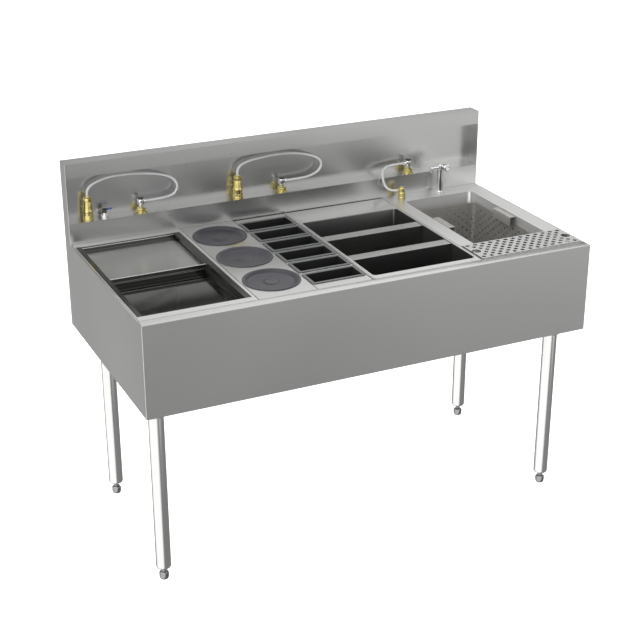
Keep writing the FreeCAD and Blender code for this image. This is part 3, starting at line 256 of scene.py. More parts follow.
# Materials
class Paint:
    """A small helper that wires a node material."""

    def __init__(self, name):
        self.material = bpy.data.materials.get(name) or bpy.data.materials.new(name)
        self.material.use_nodes = True
        self.tree = self.material.node_tree
        self.tree.nodes.clear()
        self.shader = self.add("ShaderNodeBsdfPrincipled")
        output = self.add("ShaderNodeOutputMaterial")
        self.tree.links.new(self.shader.outputs[0], output.inputs["Surface"])
        self.place = self.add("ShaderNodeTexCoord").outputs["Object"]

    def add(self, kind, **settings):
        node = self.tree.nodes.new(kind)
        for key, setting in settings.items():
            setattr(node, key, setting)
        return node

    def link(self, source, target):
        self.tree.links.new(source, target)

    def stretch(self, scale):
        node = self.add("ShaderNodeMapping")
        node.inputs["Scale"].default_value = scale
        self.link(self.place, node.inputs["Vector"])
        return node.outputs[0]

    def noise(self, vector, scale, detail=4.0, rough=0.6):
        node = self.add("ShaderNodeTexNoise")
        node.inputs["Scale"].default_value = scale
        node.inputs["Detail"].default_value = detail
        node.inputs["Roughness"].default_value = rough
        self.link(vector, node.inputs["Vector"])
        return node.outputs["Fac"]

    def ramp(self, source, stops):
        node = self.add("ShaderNodeValToRGB")
        items = node.color_ramp.elements
        while len(items) < len(stops):
            items.new(0.5)
        for item, (position, colour) in zip(items, stops):
            item.position = position
            item.color = (*colour, 1.0)
        self.link(source, node.inputs["Fac"])
        return node.outputs["Color"]

    def span(self, source, low, high, from_low=0.0, from_high=1.0):
        node = self.add("ShaderNodeMapRange")
        node.inputs["From Min"].default_value = from_low
        node.inputs["From Max"].default_value = from_high
        node.inputs["To Min"].default_value = low
        node.inputs["To Max"].default_value = high
        self.link(source, node.inputs["Value"])
        return node.outputs["Result"]

    def mix(self, factor, first, second, blend="MIX"):
        node = self.add("ShaderNodeMix", data_type="RGBA", blend_type=blend)
        if isinstance(factor, float):
            node.inputs[0].default_value = factor
        else:
            self.link(factor, node.inputs[0])
        for socket, item in ((node.inputs[6], first), (node.inputs[7], second)):
            if isinstance(item, tuple):
                socket.default_value = (*item, 1.0)
            else:
                self.link(item, socket)
        return node.outputs[2]

    def bump(self, source, strength, distance):
        node = self.add("ShaderNodeBump")
        node.inputs["Strength"].default_value = strength
        node.inputs["Distance"].default_value = distance
        self.link(source, node.inputs["Height"])
        self.link(node.outputs["Normal"], self.shader.inputs["Normal"])

    def set(self, **values):
        for key, setting in values.items():
            self.shader.inputs[key.replace("_", " ")].default_value = setting

    def axis(self, letter):
        node = self.add("ShaderNodeSeparateXYZ")
        self.link(self.place, node.inputs[0])
        return node.outputs[letter]


def shade(colour, factor):
    """A colour made lighter or darker."""
    return tuple(min(max(c * factor, 0.0), 1.0) for c in colour)


ALONG = (1.5, 260.0, 260.0)
ACROSS = (260.0, 1.5, 260.0)
UPRIGHT = (260.0, 260.0, 2.0)
DRAWN = (6.0, 260.0, 260.0)
ALL_ROUND = (90.0, 90.0, 90.0)
FINE = 0.015
# painted shade: a black band, between these two depths under the deck and with soft edges this wide,
# stands in for the shade in the ice bin's mouth
SHADE_BAND_COLOUR = (0.012, 0.012, 0.012)
SHADE_BAND_LEVELS = (0.0022, 0.0130)
SHADE_BAND_EDGE = 0.0004
SATIN_DEPTH = 0.004


def steel_skin(paint, grain, roughness, change, metal):
    """Gives sheet steel a slightly uneven gloss, and returns its streaks and its clouds."""
    streaks = paint.noise(paint.stretch(grain), 4.0, 3.0, 0.65)
    clouds = paint.noise(paint.place, 2.2, 1.0, 0.4)
    gloss = paint.span(clouds, roughness - change, roughness + change)
    paint.link(gloss, paint.shader.inputs["Roughness"])
    paint.set(Metallic=metal)
    return streaks, clouds


def mottled(paint, noise, colour, contrast):
    """A colour that a noise makes a little lighter and darker."""
    return paint.ramp(noise, [(0.3, shade(colour, 1 - contrast)),
                              (0.7, shade(colour, 1 + contrast))])


def moulded_skin(paint, grain, roughness, relief, coat, coat_roughness):
    """Gives moulded plastic its fine skin: an uneven gloss, a slight relief and a coat."""
    skin = paint.noise(paint.place, grain, 3.0)
    gloss = paint.span(skin, roughness - 0.05, roughness + 0.08)
    paint.link(gloss, paint.shader.inputs["Roughness"])
    paint.bump(skin, relief, 0.0001)
    paint.set(Coat_Weight=coat, Coat_Roughness=coat_roughness)


def brushed_steel(name, colour, roughness, grain=ALONG, metal=1.0, contrast=FINE):
    """Sheet steel: fine streaks along one axis, faint clouds and a soft skin."""
    paint = Paint(name)
    streaks, clouds = steel_skin(paint, grain, roughness, 0.04, metal)
    tone = mottled(paint, streaks, colour, contrast)
    wear = paint.ramp(clouds, [(0.0, (0.90, 0.90, 0.90)), (1.0, (1.0, 1.0, 1.0))])
    paint.link(paint.mix(1.0, tone, wear, "MULTIPLY"), paint.shader.inputs["Base Color"])
    return paint.material


def drawn_steel(name, colour, inner, level, roughness, metal, shaded_mouth=False):
    """Sheet that is satin on top and, below one height, takes its inside colour, which is painted
    light where it is lighter than the top and painted shade where it is darker. On request a black
    band of painted shade runs round the mouth, just under that height."""
    paint = Paint(name)
    streaks, clouds = steel_skin(paint, DRAWN, roughness, 0.04, metal)
    top = mottled(paint, streaks, colour, FINE)
    # painted light and shade: below the deck the sheet takes the inside colour, which in the tubs is
    # lighter than the top and in the bottle well darker
    inside_light_and_shade = paint.ramp(clouds, [(0.0, shade(inner, 0.9)), (1.0, inner)])
    height = paint.axis("Z")
    # painted shade: a black band round the mouth stands in for the shade under the lids
    if shaded_mouth:
        upper, lower = (level - depth for depth in SHADE_BAND_LEVELS)
        above = paint.span(height, 0.0, 1.0, upper - SHADE_BAND_EDGE, upper)
        under = paint.span(height, 0.0, 1.0, lower - SHADE_BAND_EDGE, lower)
        below_shade_band_top = paint.mix(above, (1.0, 1.0, 1.0), (0.0, 0.0, 0.0))
        band = paint.mix(under, (0.0, 0.0, 0.0), below_shade_band_top)
        tone = paint.mix(band, paint.mix(above, inside_light_and_shade, top), SHADE_BAND_COLOUR)
    else:
        tone = paint.mix(paint.span(height, 0.0, 1.0, level - SATIN_DEPTH, level), inside_light_and_shade, top)
    paint.link(tone, paint.shader.inputs["Base Color"])
    return paint.material


def lipped_steel(name, colour, face, bottom, top, roughness):
    """A lid's sheet: satin floor, lips painted dark as a painted reflection and edges painted bright
    as painted highlights, told apart by the share of the lid's height."""
    paint = Paint(name)
    streaks, _ = steel_skin(paint, ALONG, roughness, 0.03, 1.0)
    height = paint.span(paint.axis("Z"), 0.0, 1.0, bottom, top)
    # painted highlight on the lids' edges and lip tops, and a dark painted reflection on the lips'
    # faces
    edge = shade(colour, 1.9)
    lid_painted_light = paint.ramp(height, [(0.0, edge), (0.07, edge), (0.09, colour), (0.14, colour),
                                (0.17, face), (0.83, face), (0.87, edge), (1.0, edge)])
    tone = paint.ramp(streaks, [(0.3, (0.97, 0.97, 0.97)), (0.7, (1.0, 1.0, 1.0))])
    paint.link(paint.mix(1.0, lid_painted_light, tone, "MULTIPLY"), paint.shader.inputs["Base Color"])
    return paint.material


def plastic(name, colour, roughness, coat=0.0, grain=420.0, shine=0.5):
    """Moulded plastic with a fine skin and a little dust in its tone."""
    paint = Paint(name)
    clouds = paint.noise(paint.place, 9.0, 3.0)
    paint.link(mottled(paint, clouds, colour, 0.14), paint.shader.inputs["Base Color"])
    moulded_skin(paint, grain, roughness, 0.12, coat, 0.05)
    paint.set(Specular_IOR_Level=shine)
    return paint.material


def polished(name, colour, roughness, stain):
    """Plated or turned metal with faint lathe marks and small stains."""
    paint = Paint(name)
    rings = paint.noise(paint.stretch((20.0, 20.0, 900.0)), 3.0, 2.0)
    spots = paint.noise(paint.place, 60.0, 4.0)
    tone = paint.ramp(spots, [(0.35, shade(colour, 1 - stain)), (0.6, colour)])
    paint.link(tone, paint.shader.inputs["Base Color"])
    gloss = paint.span(spots, roughness, roughness + 0.12, 0.35, 0.65)
    paint.link(gloss, paint.shader.inputs["Roughness"])
    paint.bump(rings, 0.10, 0.0001)
    paint.set(Metallic=1.0)
    return paint.material


def two_tone(name, lower, upper, level, roughness, coat=0.0):
    """Moulded plastic whose tone changes at one height."""
    paint = Paint(name)
    clouds = paint.noise(paint.place, 14.0, 3.0)
    low = mottled(paint, clouds, lower, 0.15)
    high = mottled(paint, clouds, upper, 0.08)
    above = paint.span(paint.axis("Z"), 0.0, 1.0, level - 0.0002, level + 0.0002)
    paint.link(paint.mix(above, low, high), paint.shader.inputs["Base Color"])
    moulded_skin(paint, 380.0, roughness, 0.10, coat, 0.08)
    return paint.material


def clear_hose(name, colour):
    """Milky flexible tube that lets some light through and has a hard shine."""
    paint = Paint(name)
    clouds = paint.noise(paint.place, 40.0, 2.0)
    tone = paint.ramp(clouds, [(0.3, shade(colour, 0.94)), (0.7, colour)])
    paint.link(tone, paint.shader.inputs["Base Color"])
    paint.link(paint.span(clouds, 0.10, 0.18), paint.shader.inputs["Roughness"])
    paint.set(Coat_Weight=0.6, Coat_Roughness=0.04, Transmission_Weight=0.40, IOR=1.42)
    return paint.material


def floor_paint(name, colour, glow):
    """Even pale backdrop that glows a little where it is seen, so that its far end stays as pale
    as the near one, and that lets the studio's light pass."""
    paint = Paint(name)
    clouds = paint.noise(paint.place, 0.6, 2.0)
    tone = paint.ramp(clouds, [(0.2, shade(colour, 0.995)), (0.8, colour)])
    paint.link(tone, paint.shader.inputs["Base Color"])
    paint.set(Roughness=0.9, Specular_IOR_Level=0.1)
    shown = paint.add("ShaderNodeLightPath").outputs["Is Camera Ray"]
    paint.link(paint.span(shown, 0.0, glow), paint.shader.inputs["Emission Strength"])
    paint.set(Emission_Color=(1.0, 1.0, 1.0, 1.0))
    clear = paint.add("ShaderNodeBsdfTransparent")
    choice = paint.add("ShaderNodeMixShader")
    paint.link(shown, choice.inputs[0])
    paint.link(clear.outputs[0], choice.inputs[1])
    paint.link(paint.shader.outputs[0], choice.inputs[2])
    output = next(node for node in paint.tree.nodes if node.type == "OUTPUT_MATERIAL")
    paint.link(choice.outputs[0], output.inputs["Surface"])
    return paint.material


LEFT_WALL = ((-0.946, -0.326, 0.0), 0.24, 0.52, 1.35)
PALE_WALL_BEHIND = ((0.378, 0.520, 0.766), 0.845, 0.890, 1.2)
CARD_ON_THE_RIGHT = ((0.565, -0.807, 0.174), 0.82, 0.94, 0.8)
CARD_BEHIND = ((-0.27, 0.88, -0.39), 0.80, 0.97, 0.10)
CEILING = ((0.0, 0.0, 1.0), 0.50, 0.95, 0.20)
STUDIO_BASE = 0.30


def studio_sky(tree, strength, base, panels):
    """A studio round the object: a base level, and soft panels that each have a direction, the
    cosines where they start and are full, and what they add."""
    place = tree.nodes.new("ShaderNodeTexCoord").outputs["Generated"]
    level = None
    for direction, start, full, gain in panels:
        facing = tree.nodes.new("ShaderNodeVectorMath")
        facing.operation = "DOT_PRODUCT"
        facing.inputs[1].default_value = direction
        tree.links.new(place, facing.inputs[0])
        panel = tree.nodes.new("ShaderNodeMapRange")
        panel.interpolation_type = "SMOOTHSTEP"
        for socket, number in (("From Min", start), ("From Max", full), ("To Min", 0.0),
                               ("To Max", gain * strength)):
            panel.inputs[socket].default_value = number
        tree.links.new(facing.outputs["Value"], panel.inputs["Value"])
        total = tree.nodes.new("ShaderNodeMath")
        total.operation = "ADD"
        total.inputs[1].default_value = base * strength
        tree.links.new(panel.outputs[0], total.inputs[0])
        if level:
            tree.links.new(level, total.inputs[1])
        level = total.outputs[0]
    background = tree.nodes["Background"]
    background.inputs["Color"].default_value = (1.0, 1.0, 1.0, 1.0)
    tree.links.new(level, background.inputs["Strength"])


# Settings
def length_setting(name, text, default, low, high):
    """A size in millimetres that the panel offers."""
    return bpy.props.FloatProperty(name=name, description=text, default=default, min=low, max=high)


def colour_setting(name, text, default):
    """A colour that the panel offers."""
    return bpy.props.FloatVectorProperty(name=name, description=text, subtype="COLOR",
                                         default=default, min=0.0, max=1.0)


class StationSettings(bpy.types.PropertyGroup):
    """Sizes, colours and light of the station that a user would change."""

    hose_radius: length_setting("Hose radius", "Outer radius of the hoses, mm", 3.3, 1.0, 6.0)
    basket_pitch: length_setting("Basket hole pitch", "Distance between the basket's holes in a "
                                 "row, mm", 28.0, 10.0, 60.0)
    basket_row: length_setting("Basket row pitch", "Distance between the basket's rows of holes, "
                               "mm", 11.0, 6.0, 40.0)
    basket_hole: length_setting("Basket hole radius", "Radius of the basket's holes, mm", 3.1,
                                1.0, 4.0)
    fold: length_setting("Fold radius", "Radius of the sheet metal's folds and edges, mm", 0.7,
                         0.1, 2.0)
    steel: colour_setting("Steel", "Satin sheet of the front, sides and splash",
                          (0.62, 0.62, 0.61))
    deck: colour_setting("Deck", "Satin sheet of the deck units", (0.56, 0.56, 0.55))
    # painted light: the tubs' insides are painted lighter than the deck, and the bottle well takes a
    # darker copy as painted shade
    inside: colour_setting("Tub inside", "Drawn walls of the tubs", (0.80, 0.80, 0.79))
    lid: colour_setting("Rear lid", "Satin sheet of the rear lid", (0.48, 0.48, 0.47))
    dark_lid: colour_setting("Front lid", "Mirror sheet of the front lid", (0.16, 0.16, 0.155))
    track: colour_setting("Track", "Glossy runners of the lids", (0.012, 0.012, 0.011))
    basket: colour_setting("Basket", "Perforated sheet of the basket", (0.40, 0.39, 0.365))
    dish: colour_setting("Dish", "Moulding of the rimmer dishes", (0.042, 0.040, 0.050))
    pan: colour_setting("Pan", "Inside of the condiment pans", (0.014, 0.015, 0.014))
    pan_edge: colour_setting("Pan edge", "Lip of the condiment pans", (0.10, 0.107, 0.105))
    brass: colour_setting("Brass", "Turned valves and bosses", (0.60, 0.51, 0.20))
    chrome: colour_setting("Chrome", "Plated heads, tap and drains", (0.78, 0.78, 0.79))
    grip: colour_setting("Valve grip", "Cap on the ball valve's lever", (0.05, 0.09, 0.30))
    hose: colour_setting("Hose", "Milky tube of the hoses", (0.80, 0.80, 0.81))
    floor: colour_setting("Floor", "Plain floor under the station", (0.80, 0.80, 0.80))
    glow: bpy.props.FloatProperty(name="Floor glow", description="How pale the floor shows",
                                  default=0.9, min=0.0, max=20.0)
    key: bpy.props.FloatProperty(name="Key light", description="Soft box on the left, watts",
                                 default=20.0, min=0.0, max=500.0)
    fill: bpy.props.FloatProperty(name="Fill light", description="Soft box on the right, watts",
                                  default=12.0, min=0.0, max=500.0)
    sky: bpy.props.FloatProperty(name="Sky", description="Strength of the light from all round",
                                 default=1.0, min=0.0, max=10.0)


def settings():
    """The station's settings in this scene."""
    return bpy.context.scene.station_settings


PAINTS = {}


def paints():
    """Every material of the station, made once."""
    if PAINTS:
        return PAINTS
    s = settings()
    steel = tuple(s.steel)
    deck = tuple(s.deck)
    inside = tuple(s.inside)
    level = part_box("rimmer_panel")[1][2]
    PAINTS["front"] = brushed_steel("Front steel", steel, 0.30)
    # painted shade: the side panels and leg channels take the front's steel made darker
    PAINTS["side"] = brushed_steel("Side steel", shade(steel, 0.92), 0.34, ACROSS)
    PAINTS["splash"] = brushed_steel("Splash steel", shade(steel, 0.96), 0.27)
    PAINTS["deck"] = brushed_steel("Deck steel", deck, 0.28)
    # painted light: the sink and the ice bin take the lighter inside colour below the deck
    PAINTS["tub"] = drawn_steel("Drawn steel", deck, inside, level, 0.38, 0.65)
    # the ice bin's liner carries the band of painted shade in its mouth
    PAINTS["mouth"] = drawn_steel("Mouth steel with painted shade", deck, inside, level, 0.26, 0.65, True)
    # painted shade: the bottle well's inside is the inside colour made much darker
    PAINTS["well"] = drawn_steel("Well steel", deck, shade(inside, 0.2), level, 0.34, 0.9)
    PAINTS["leg"] = brushed_steel("Leg steel", shade(deck, 1.15), 0.22, UPRIGHT, 1.0, 0.02)
    PAINTS["foot"] = brushed_steel("Foot steel", shade(deck, 0.5), 0.28, UPRIGHT)
    PAINTS["basket"] = brushed_steel("Basket steel", tuple(s.basket), 0.42, ALL_ROUND, 0.5)
    # painted reflection: the dark colour given here is for the lids' lips, whose edges get painted
    # highlights
    low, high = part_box("rear_lid")
    PAINTS["rear_lid"] = lipped_steel("Rear lid steel", tuple(s.lid), (0.10, 0.10, 0.098),
                                      low[2], high[2], 0.24)
    low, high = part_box("front_lid")
    PAINTS["front_lid"] = lipped_steel("Front lid steel", tuple(s.dark_lid),
                                       (0.06, 0.06, 0.058), low[2], high[2], 0.10)
    PAINTS["rail"] = brushed_steel("Rail steel", tuple(s.lid), 0.26)
    PAINTS["foam"] = plastic("Foam", (0.62, 0.55, 0.36), 0.9, 0.0, 900.0)
    PAINTS["track"] = plastic("Track", tuple(s.track), 0.16, 0.0, 420.0, 0.25)
    PAINTS["dish"] = plastic("Dish", tuple(s.dish), 0.42, 0.05)
    PAINTS["pan"] = two_tone("Pan", tuple(s.pan), tuple(s.pan_edge), level + 0.0004, 0.36, 0.1)
    PAINTS["brass"] = polished("Brass", tuple(s.brass), 0.20, 0.12)
    PAINTS["chrome"] = polished("Chrome", tuple(s.chrome), 0.08, 0.06)
    PAINTS["black"] = plastic("Black cap", (0.012, 0.012, 0.013), 0.30, 0.3)
    PAINTS["grip"] = plastic("Valve grip", tuple(s.grip), 0.30, 0.5)
    PAINTS["hose"] = clear_hose("Hose", tuple(s.hose))
    return PAINTS


# Pieces
def middle(node):
    """Centre of a node in plan, and its lowest and highest levels."""
    low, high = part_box(node)
    return (low[0] + high[0]) / 2, (low[1] + high[1]) / 2, low[2], high[2]


SHEETS = {
    "front_apron": "front", "left_side_panel": "side", "right_side_panel": "side",
    "rear_panel": "front", "backsplash": "splash", "ice_bin_liner": "mouth",
    "left_lid_track": "track", "right_lid_track": "track", "rear_lid": "rear_lid",
    "front_lid": "front_lid", "rimmer_panel": "deck", "condiment_tray": "deck",
    "insert_rail": "rail", "bottle_well": "well", "bottle_divider_rear": "rail",
    "bottle_divider_front": "rail", "sink_bowl": "tub", "drain_plate": "deck",
    "left_leg_channel": "side", "right_leg_channel": "side",
}
HIDDEN = {"ice_bin_foam": "foam", "ice_bin_shell": "side", "ice_bin_drain": "chrome",
          "sink_drain": "chrome", "leg_sockets": "side"}


def home(node):
    """The name of the body that carries a node, and the node's material slot."""
    record = frame["record"]
    body = next(name for name, nodes in record["behaviour"]["bodies"].items() if node in nodes)
    slot = next(row["material_slot"] for row in record["subparts"] if row["node"] == node)
    return body, slot


def folded_copy(node, look, fold):
    """The node's own shape with its loose triangles merged, the cuts in its flat faces taken
    out and every edge sharper than 30 degrees bevelled to the radius called fold."""
    shell = bmesh.new()
    shell.from_mesh(frame["nodes"][node].data)
    bmesh.ops.remove_doubles(shell, verts=shell.verts, dist=0.00001)
    bmesh.ops.dissolve_limit(shell, angle_limit=math.radians(0.5), verts=shell.verts,
                             edges=shell.edges)
    mesh = bpy.data.meshes.new(node + "_steel")
    shell.to_mesh(mesh)
    shell.free()
    mesh.polygons.foreach_set("use_smooth", [True] * len(mesh.polygons))
    mesh.set_sharp_from_angle(angle=math.radians(30))
    mesh.materials.clear()
    mesh.materials.append(look)
    piece = new_object(node + "_steel", mesh)
    bevel = piece.modifiers.new("fold", "BEVEL")
    bevel.width = fold
    bevel.segments = 2
    bevel.limit_method = "ANGLE"
    bevel.angle_limit = math.radians(30)
    bevel.harden_normals = True
    body, slot = home(node)
    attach(piece, body)
    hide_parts(node)


def dress_nodes():
    """Gives each sheet a copy with folded edges, and each hidden node its material."""
    kit = paints()
    fold = settings().fold * MM
    for node, look in SHEETS.items():
        folded_copy(node, kit[look], fold)
    for number in range(1, 7):
        folded_copy("condiment_pan_%d" % number, kit["pan"], fold)
    for node, look in HIDDEN.items():
        data = frame["nodes"][node].data
        data.materials.clear()
        data.materials.append(kit[look])


LEG_END = [(6.3, 16), (6.3, 0), (15, 0), (17.6, 1.4), (19.05, 5)]
LEG_RADIUS = 19.05
LEG_BORE = 17.5
BULLET = [(0.01, 0), (7, 0.0), (10.2, 1.6), (11.8, 5), (11.9, 9, 0.0), (11.8, 10, 1),
          (11.8, 18, 1), (10.4, 20.5, 0.6), (8.5, 22), (6.0, 22)]
RINGS = 18
RING_PITCH = 1.2
RING_VALLEY = (5.4, 22.6)
RING_CREST = (5.95, 23.2)
STEM = [(5.9, 60), (5.9, 82), (0.01, 82)]


def make_legs():
    """Tubes with a rolled lower end, and bullet feet with a hexagon and a ringed stem, all turned
    about their own axes. The stem's rings are one valley and crest, repeated at a pitch."""
    kit = paints()
    stem = [(radius, height + i * RING_PITCH) for i in range(RINGS)
            for radius, height in (RING_VALLEY, RING_CREST)]
    for corner in ("front_left", "back_left", "front_right", "back_right"):
        x, y, low, high = middle("leg_" + corner)
        tall = (high - low) / MM
        profile = LEG_END + [(LEG_RADIUS, tall), (LEG_BORE, tall)]
        build("leg_tube_" + corner, [lathe(profile, (x, y, low), 72, 1.2)], kit["leg"],
              "station", node="leg_" + corner)
        x, y, low, high = middle("foot_" + corner)
        build("foot_bullet_" + corner, [lathe(BULLET + stem + STEM, (x, y, low), 48, 0.35)],
              kit["foot"], "foot_" + corner, node="foot_" + corner)


DISH = [(0.01, 0), (60, 0), (66, 7.9), (72.4, 8.0), (72.45, 9.4), (71.0, 10.5), (67.0, 10.5),
        (65.2, 9.6), (58.2, 3.2), (54.0, 2.3), (23.0, 2.1), (20.6, 2.6), (17.4, 4.9), (15.6, 5.4),
        (0.01, 5.4)]


def make_dishes():
    """Round dishes: a profile of rolled lip, sloped wall, flat floor and raised middle, turned
    about the dish's own axis."""
    kit = paints()
    for row in ("front", "middle", "rear"):
        node = "rimmer_dish_" + row
        x, y, low, high = middle(node)
        build(node + "_moulding", [lathe(DISH, (x, y, low), 144, 1.6)], kit["dish"], node,
              node=node)


BRASS_VALVE = [(6.4, -26), (6.4, 0), (13.9, 0, 1), (13.9, 3.0, 1), (13.0, 3.6), (13.0, 4.2),
               (13.2, 5, 1), (13.2, 11, 1), (12.6, 12), (12.9, 13), (12.9, 20), (13.8, 21),
               (13.8, 24.4), (12.9, 26), (12.2, 30), (11.4, 38), (10.4, 45), (9.3, 48),
               (9.3, 50.4), (10.4, 51.4, 1), (10.4, 57.6, 1), (8.4, 59.4), (6.4, 60.4),
               (6.2, 63), (0.01, 63)]
BRASS_BOSS = [(6.4, -26), (6.4, 0), (15.9, 0), (15.9, 2.2), (14.6, 3.0), (11.6, 3.6, 1),
              (11.4, 4.4, 1), (11.4, 10.2, 1), (9.8, 11.4), (8.6, 12), (7.4, 13), (0.01, 13)]
HEAD_NECK = [(6.0, 13), (6.4, 14), (6.2, 18), (7.4, 20.4), (9.3, 21), (9.3, 33), (8.4, 34.6),
             (7.2, 35.2), (0.01, 35.2)]
HEAD_BARREL = [(0.01, 0), (6.4, 0), (6.4, 8.6), (6.0, 9.0), (6.0, 9.8), (6.4, 10.2),
               (6.4, 13.4), (5.8, 14), (0.01, 14)]
HEAD_CAP = [(0.01, 35.0), (7.9, 35.0), (7.9, 38.2), (6.8, 39.4), (0.01, 39.6)]
SMALL_VALVE = [(6.4, -26), (6.4, 0), (9.4, 0, 1), (9.4, 4.4, 1), (7.0, 5.4), (6.2, 7), (6.4, 9),
               (6.4, 11), (5.8, 12), (0.01, 12)]
SMALL_BONNET = [(0.01, 11.4), (6.0, 11.4), (6.4, 12.4), (6.4, 15.0), (5.4, 16.8), (4.4, 19),
                (2.4, 19), (2.4, 23.6), (0.01, 24)]
DECK_BRASS = [(6.4, -26), (6.4, 0), (10.3, 0, 1), (10.3, 5, 1), (9.2, 6), (9.0, 8), (10.0, 9, 1),
              (10.0, 17, 1), (8.4, 18.6), (8.0, 21), (8.0, 30), (6.8, 32.4), (5.2, 34),
              (0.01, 34)]
DECK_TAIL = [(0.01, 0), (4.4, 0), (4.4, 8), (3.9, 9), (4.4, 10), (3.9, 11.4), (4.3, 12.4),
             (3.8, 14), (0.01, 14)]
OUTLET_LEVEL = 28.0
VALVE_HEIGHT = 63.0
BOSS_HEIGHT = 13.0
BALL_VALVE_HEIGHT = 24.0
DECK_FITTING_HEIGHT = 34.0
DECK_TAIL_LEVEL = 25.5
DECK_BRASS_REACH = 10.4
LEVER_LEVEL = 19.0


def sideways(profile, centre, sign, segments):
    """A profile turned about X from a centre, looking right for sign 1 and left for -1."""
    points, faces = lathe(profile, (0, 0, 0), segments, 0.4, "X")
    if sign < 0:
        faces = [face[::-1] for face in faces]
    return points * (sign, 1, 1) + np.asarray(centre), faces


def make_fittings():
    """Brass valves and bosses, capped outlet heads, the ball valve and the deck fitting: each is
    a profile of radius and height turned about its own axis, with six-sided stretches."""
    kit = paints()
    for side in ("left", "middle"):
        node = side + "_check_valve"
        x, y, low, high = middle(node)
        base = high - VALVE_HEIGHT * MM
        build(side + "_valve_brass", [lathe(BRASS_VALVE, (x, y, base), 72, 0.5)], kit["brass"],
              "station", node=node)
    for side, sign in (("left", 1), ("middle", 1), ("right", -1)):
        x, y, low, high = middle(side + "_outlet_base")
        shelf = high - BOSS_HEIGHT * MM
        build(side + "_outlet_brass", [lathe(BRASS_BOSS, (x, y, shelf), 72, 0.4)], kit["brass"],
              "station", node=side + "_outlet_base")
        barrel = sideways(HEAD_BARREL, (x, y, shelf + OUTLET_LEVEL * MM), sign, 48)
        build(side + "_outlet_chrome", [lathe(HEAD_NECK, (x, y, shelf), 64, 0.5), barrel],
              kit["chrome"], "station", node=side + "_outlet_head")
        cap = lathe(HEAD_CAP, (x, y, shelf), 60, 0.5, flutes=20, flute_depth=0.03)
        build(side + "_outlet_cap", [cap], kit["black"], "station")
    x, y, low, high = middle("ball_valve")
    shelf = high - BALL_VALVE_HEIGHT * MM
    build("ball_valve_chrome", [lathe(SMALL_VALVE, (x, y, shelf), 60, 0.4)], kit["chrome"],
          "station", node="ball_valve")
    bonnet = lathe(SMALL_BONNET, (x, y, shelf), 60, 0.4)
    build("ball_valve_bonnet", [bonnet], kit["black"], "station")
    make_lever(x, y, shelf + LEVER_LEVEL * MM, kit)
    x, y, low, high = middle("deck_fitting")
    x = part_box("deck_fitting")[1][0] - DECK_BRASS_REACH * MM
    deck = high - DECK_FITTING_HEIGHT * MM
    tail = sideways(DECK_TAIL, (x, y, deck + DECK_TAIL_LEVEL * MM), -1, 40)
    build("deck_fitting_brass", [lathe(DECK_BRASS, (x, y, deck), 72, 0.4), tail],
          kit["brass"], "station", node="deck_fitting")
    make_tap(kit)


def make_lever(x, y, level, kit):
    """A flat lever: its half width and its top are functions of the way along it, the ends are
    quarter ellipses, and a soft cap covers its outer half."""
    t = np.linspace(0, 1, 40)
    along = -6.2 + 28.0 * t
    blunt = 0.10
    half = 4.4 - 0.9 * t
    nose = np.sqrt(np.clip(1 - ((t - 1 + blunt) / blunt) ** 2, 0, 1))
    heel = np.sqrt(np.clip(1 - ((blunt - t) / blunt) ** 2, 0, 1))
    half = np.where(t > 1 - blunt, half * nose, np.where(t < blunt, half * heel, half))
    half = np.maximum(half, 0.05)
    top = 3.95 - 0.5 * np.sin(np.clip((t - 0.3) / 0.6, 0, 1) * math.pi)
    section = [(-1.0, 0.02), (-1.0, 0.85), (-0.8, 1.0), (0.8, 1.0), (1.0, 0.85), (1.0, 0.02)]
    for name, keep, look in (("ball_valve_plate", slice(0, 20), "black"),
                             ("ball_valve_grip", slice(19, 40), "grip")):
        rows = [np.stack([along[keep], half[keep] * u, top[keep] * v], axis=-1)
                for u, v in section]
        points = np.stack(rows, axis=1).reshape(-1, 3) * MM + (x, y, level)
        count = len(along[keep])
        faces = [tuple(f) for f in grid_faces(count, len(section))]
        ends = [tuple(range(len(section) - 1, -1, -1)),
                tuple(range((count - 1) * len(section), count * len(section)))]
        build(name, [(points, faces + ends)], kit[look], "ball_valve_lever",
              node="ball_valve_lever")


TAP_COLUMN = [(6.4, -26), (6.4, 0), (12.9, 0), (12.9, 2.0), (10.8, 3.4), (9.0, 5.0), (8.5, 8),
              (8.5, 62), (8.7, 64), (9.0, 66.4), (9.0, 81), (8.5, 83.6), (6.6, 85.4), (3.6, 86),
              (0.01, 86)]
TAP_ARM = [(0.01, -27), (4.7, -27), (4.9, -26), (4.9, -8), (4.9, 13), (0.01, 13)]
TAP_LIP = [(4.7, 62.2), (4.9, 63), (4.9, 76), (4.2, 78.6), (2.6, 80.2), (0.01, 80.8)]
TAP_HOUSING = [(0.01, -9), (7.4, -9), (8.1, -8.2), (8.1, 8.2), (7.4, 9), (0.01, 9)]
TAP_KNOB = [(0.01, 9.0), (10.0, 9.0), (10.5, 9.9), (10.5, 16.6), (9.4, 18.4), (6.6, 19.0),
            (5.8, 18.4), (0.01, 18.4)]
TAP_SHANK = 26.0
TAP_LEVEL = 76.0
KNOB_SHIFT = 13.0
SPOUT_REACH = 27.0


def make_tap(kit):
    """A slim tap of turned profiles: a column with a flange, an arm and a housing laid across
    it, a mouth that looks down and a fluted round knob."""
    knob_x, _, _, _ = middle("faucet_knob")
    x = knob_x - KNOB_SHIFT * MM
    low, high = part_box("faucet")
    y = (low[1] + high[1]) / 2
    deck = low[2] + TAP_SHANK * MM
    level = deck + TAP_LEVEL * MM
    parts = [
        lathe(TAP_COLUMN, (x, y, deck), 64, 0.8),
        lathe(TAP_ARM, (x, y, level), 40, 0.8, "X"),
        lathe(TAP_LIP, (x - SPOUT_REACH * MM, y, deck), 40, 0.6),
        lathe(TAP_HOUSING, (knob_x, y, level), 56, 0.5, "Y"),
    ]
    build("tap_chrome", parts, kit["chrome"], "station", node="faucet")
    knob = lathe(TAP_KNOB, (knob_x, y, level), 72, 0.5, "-Y", 24, 0.03)
    build("tap_knob", [knob], kit["chrome"], "faucet_knob", node="faucet_knob")


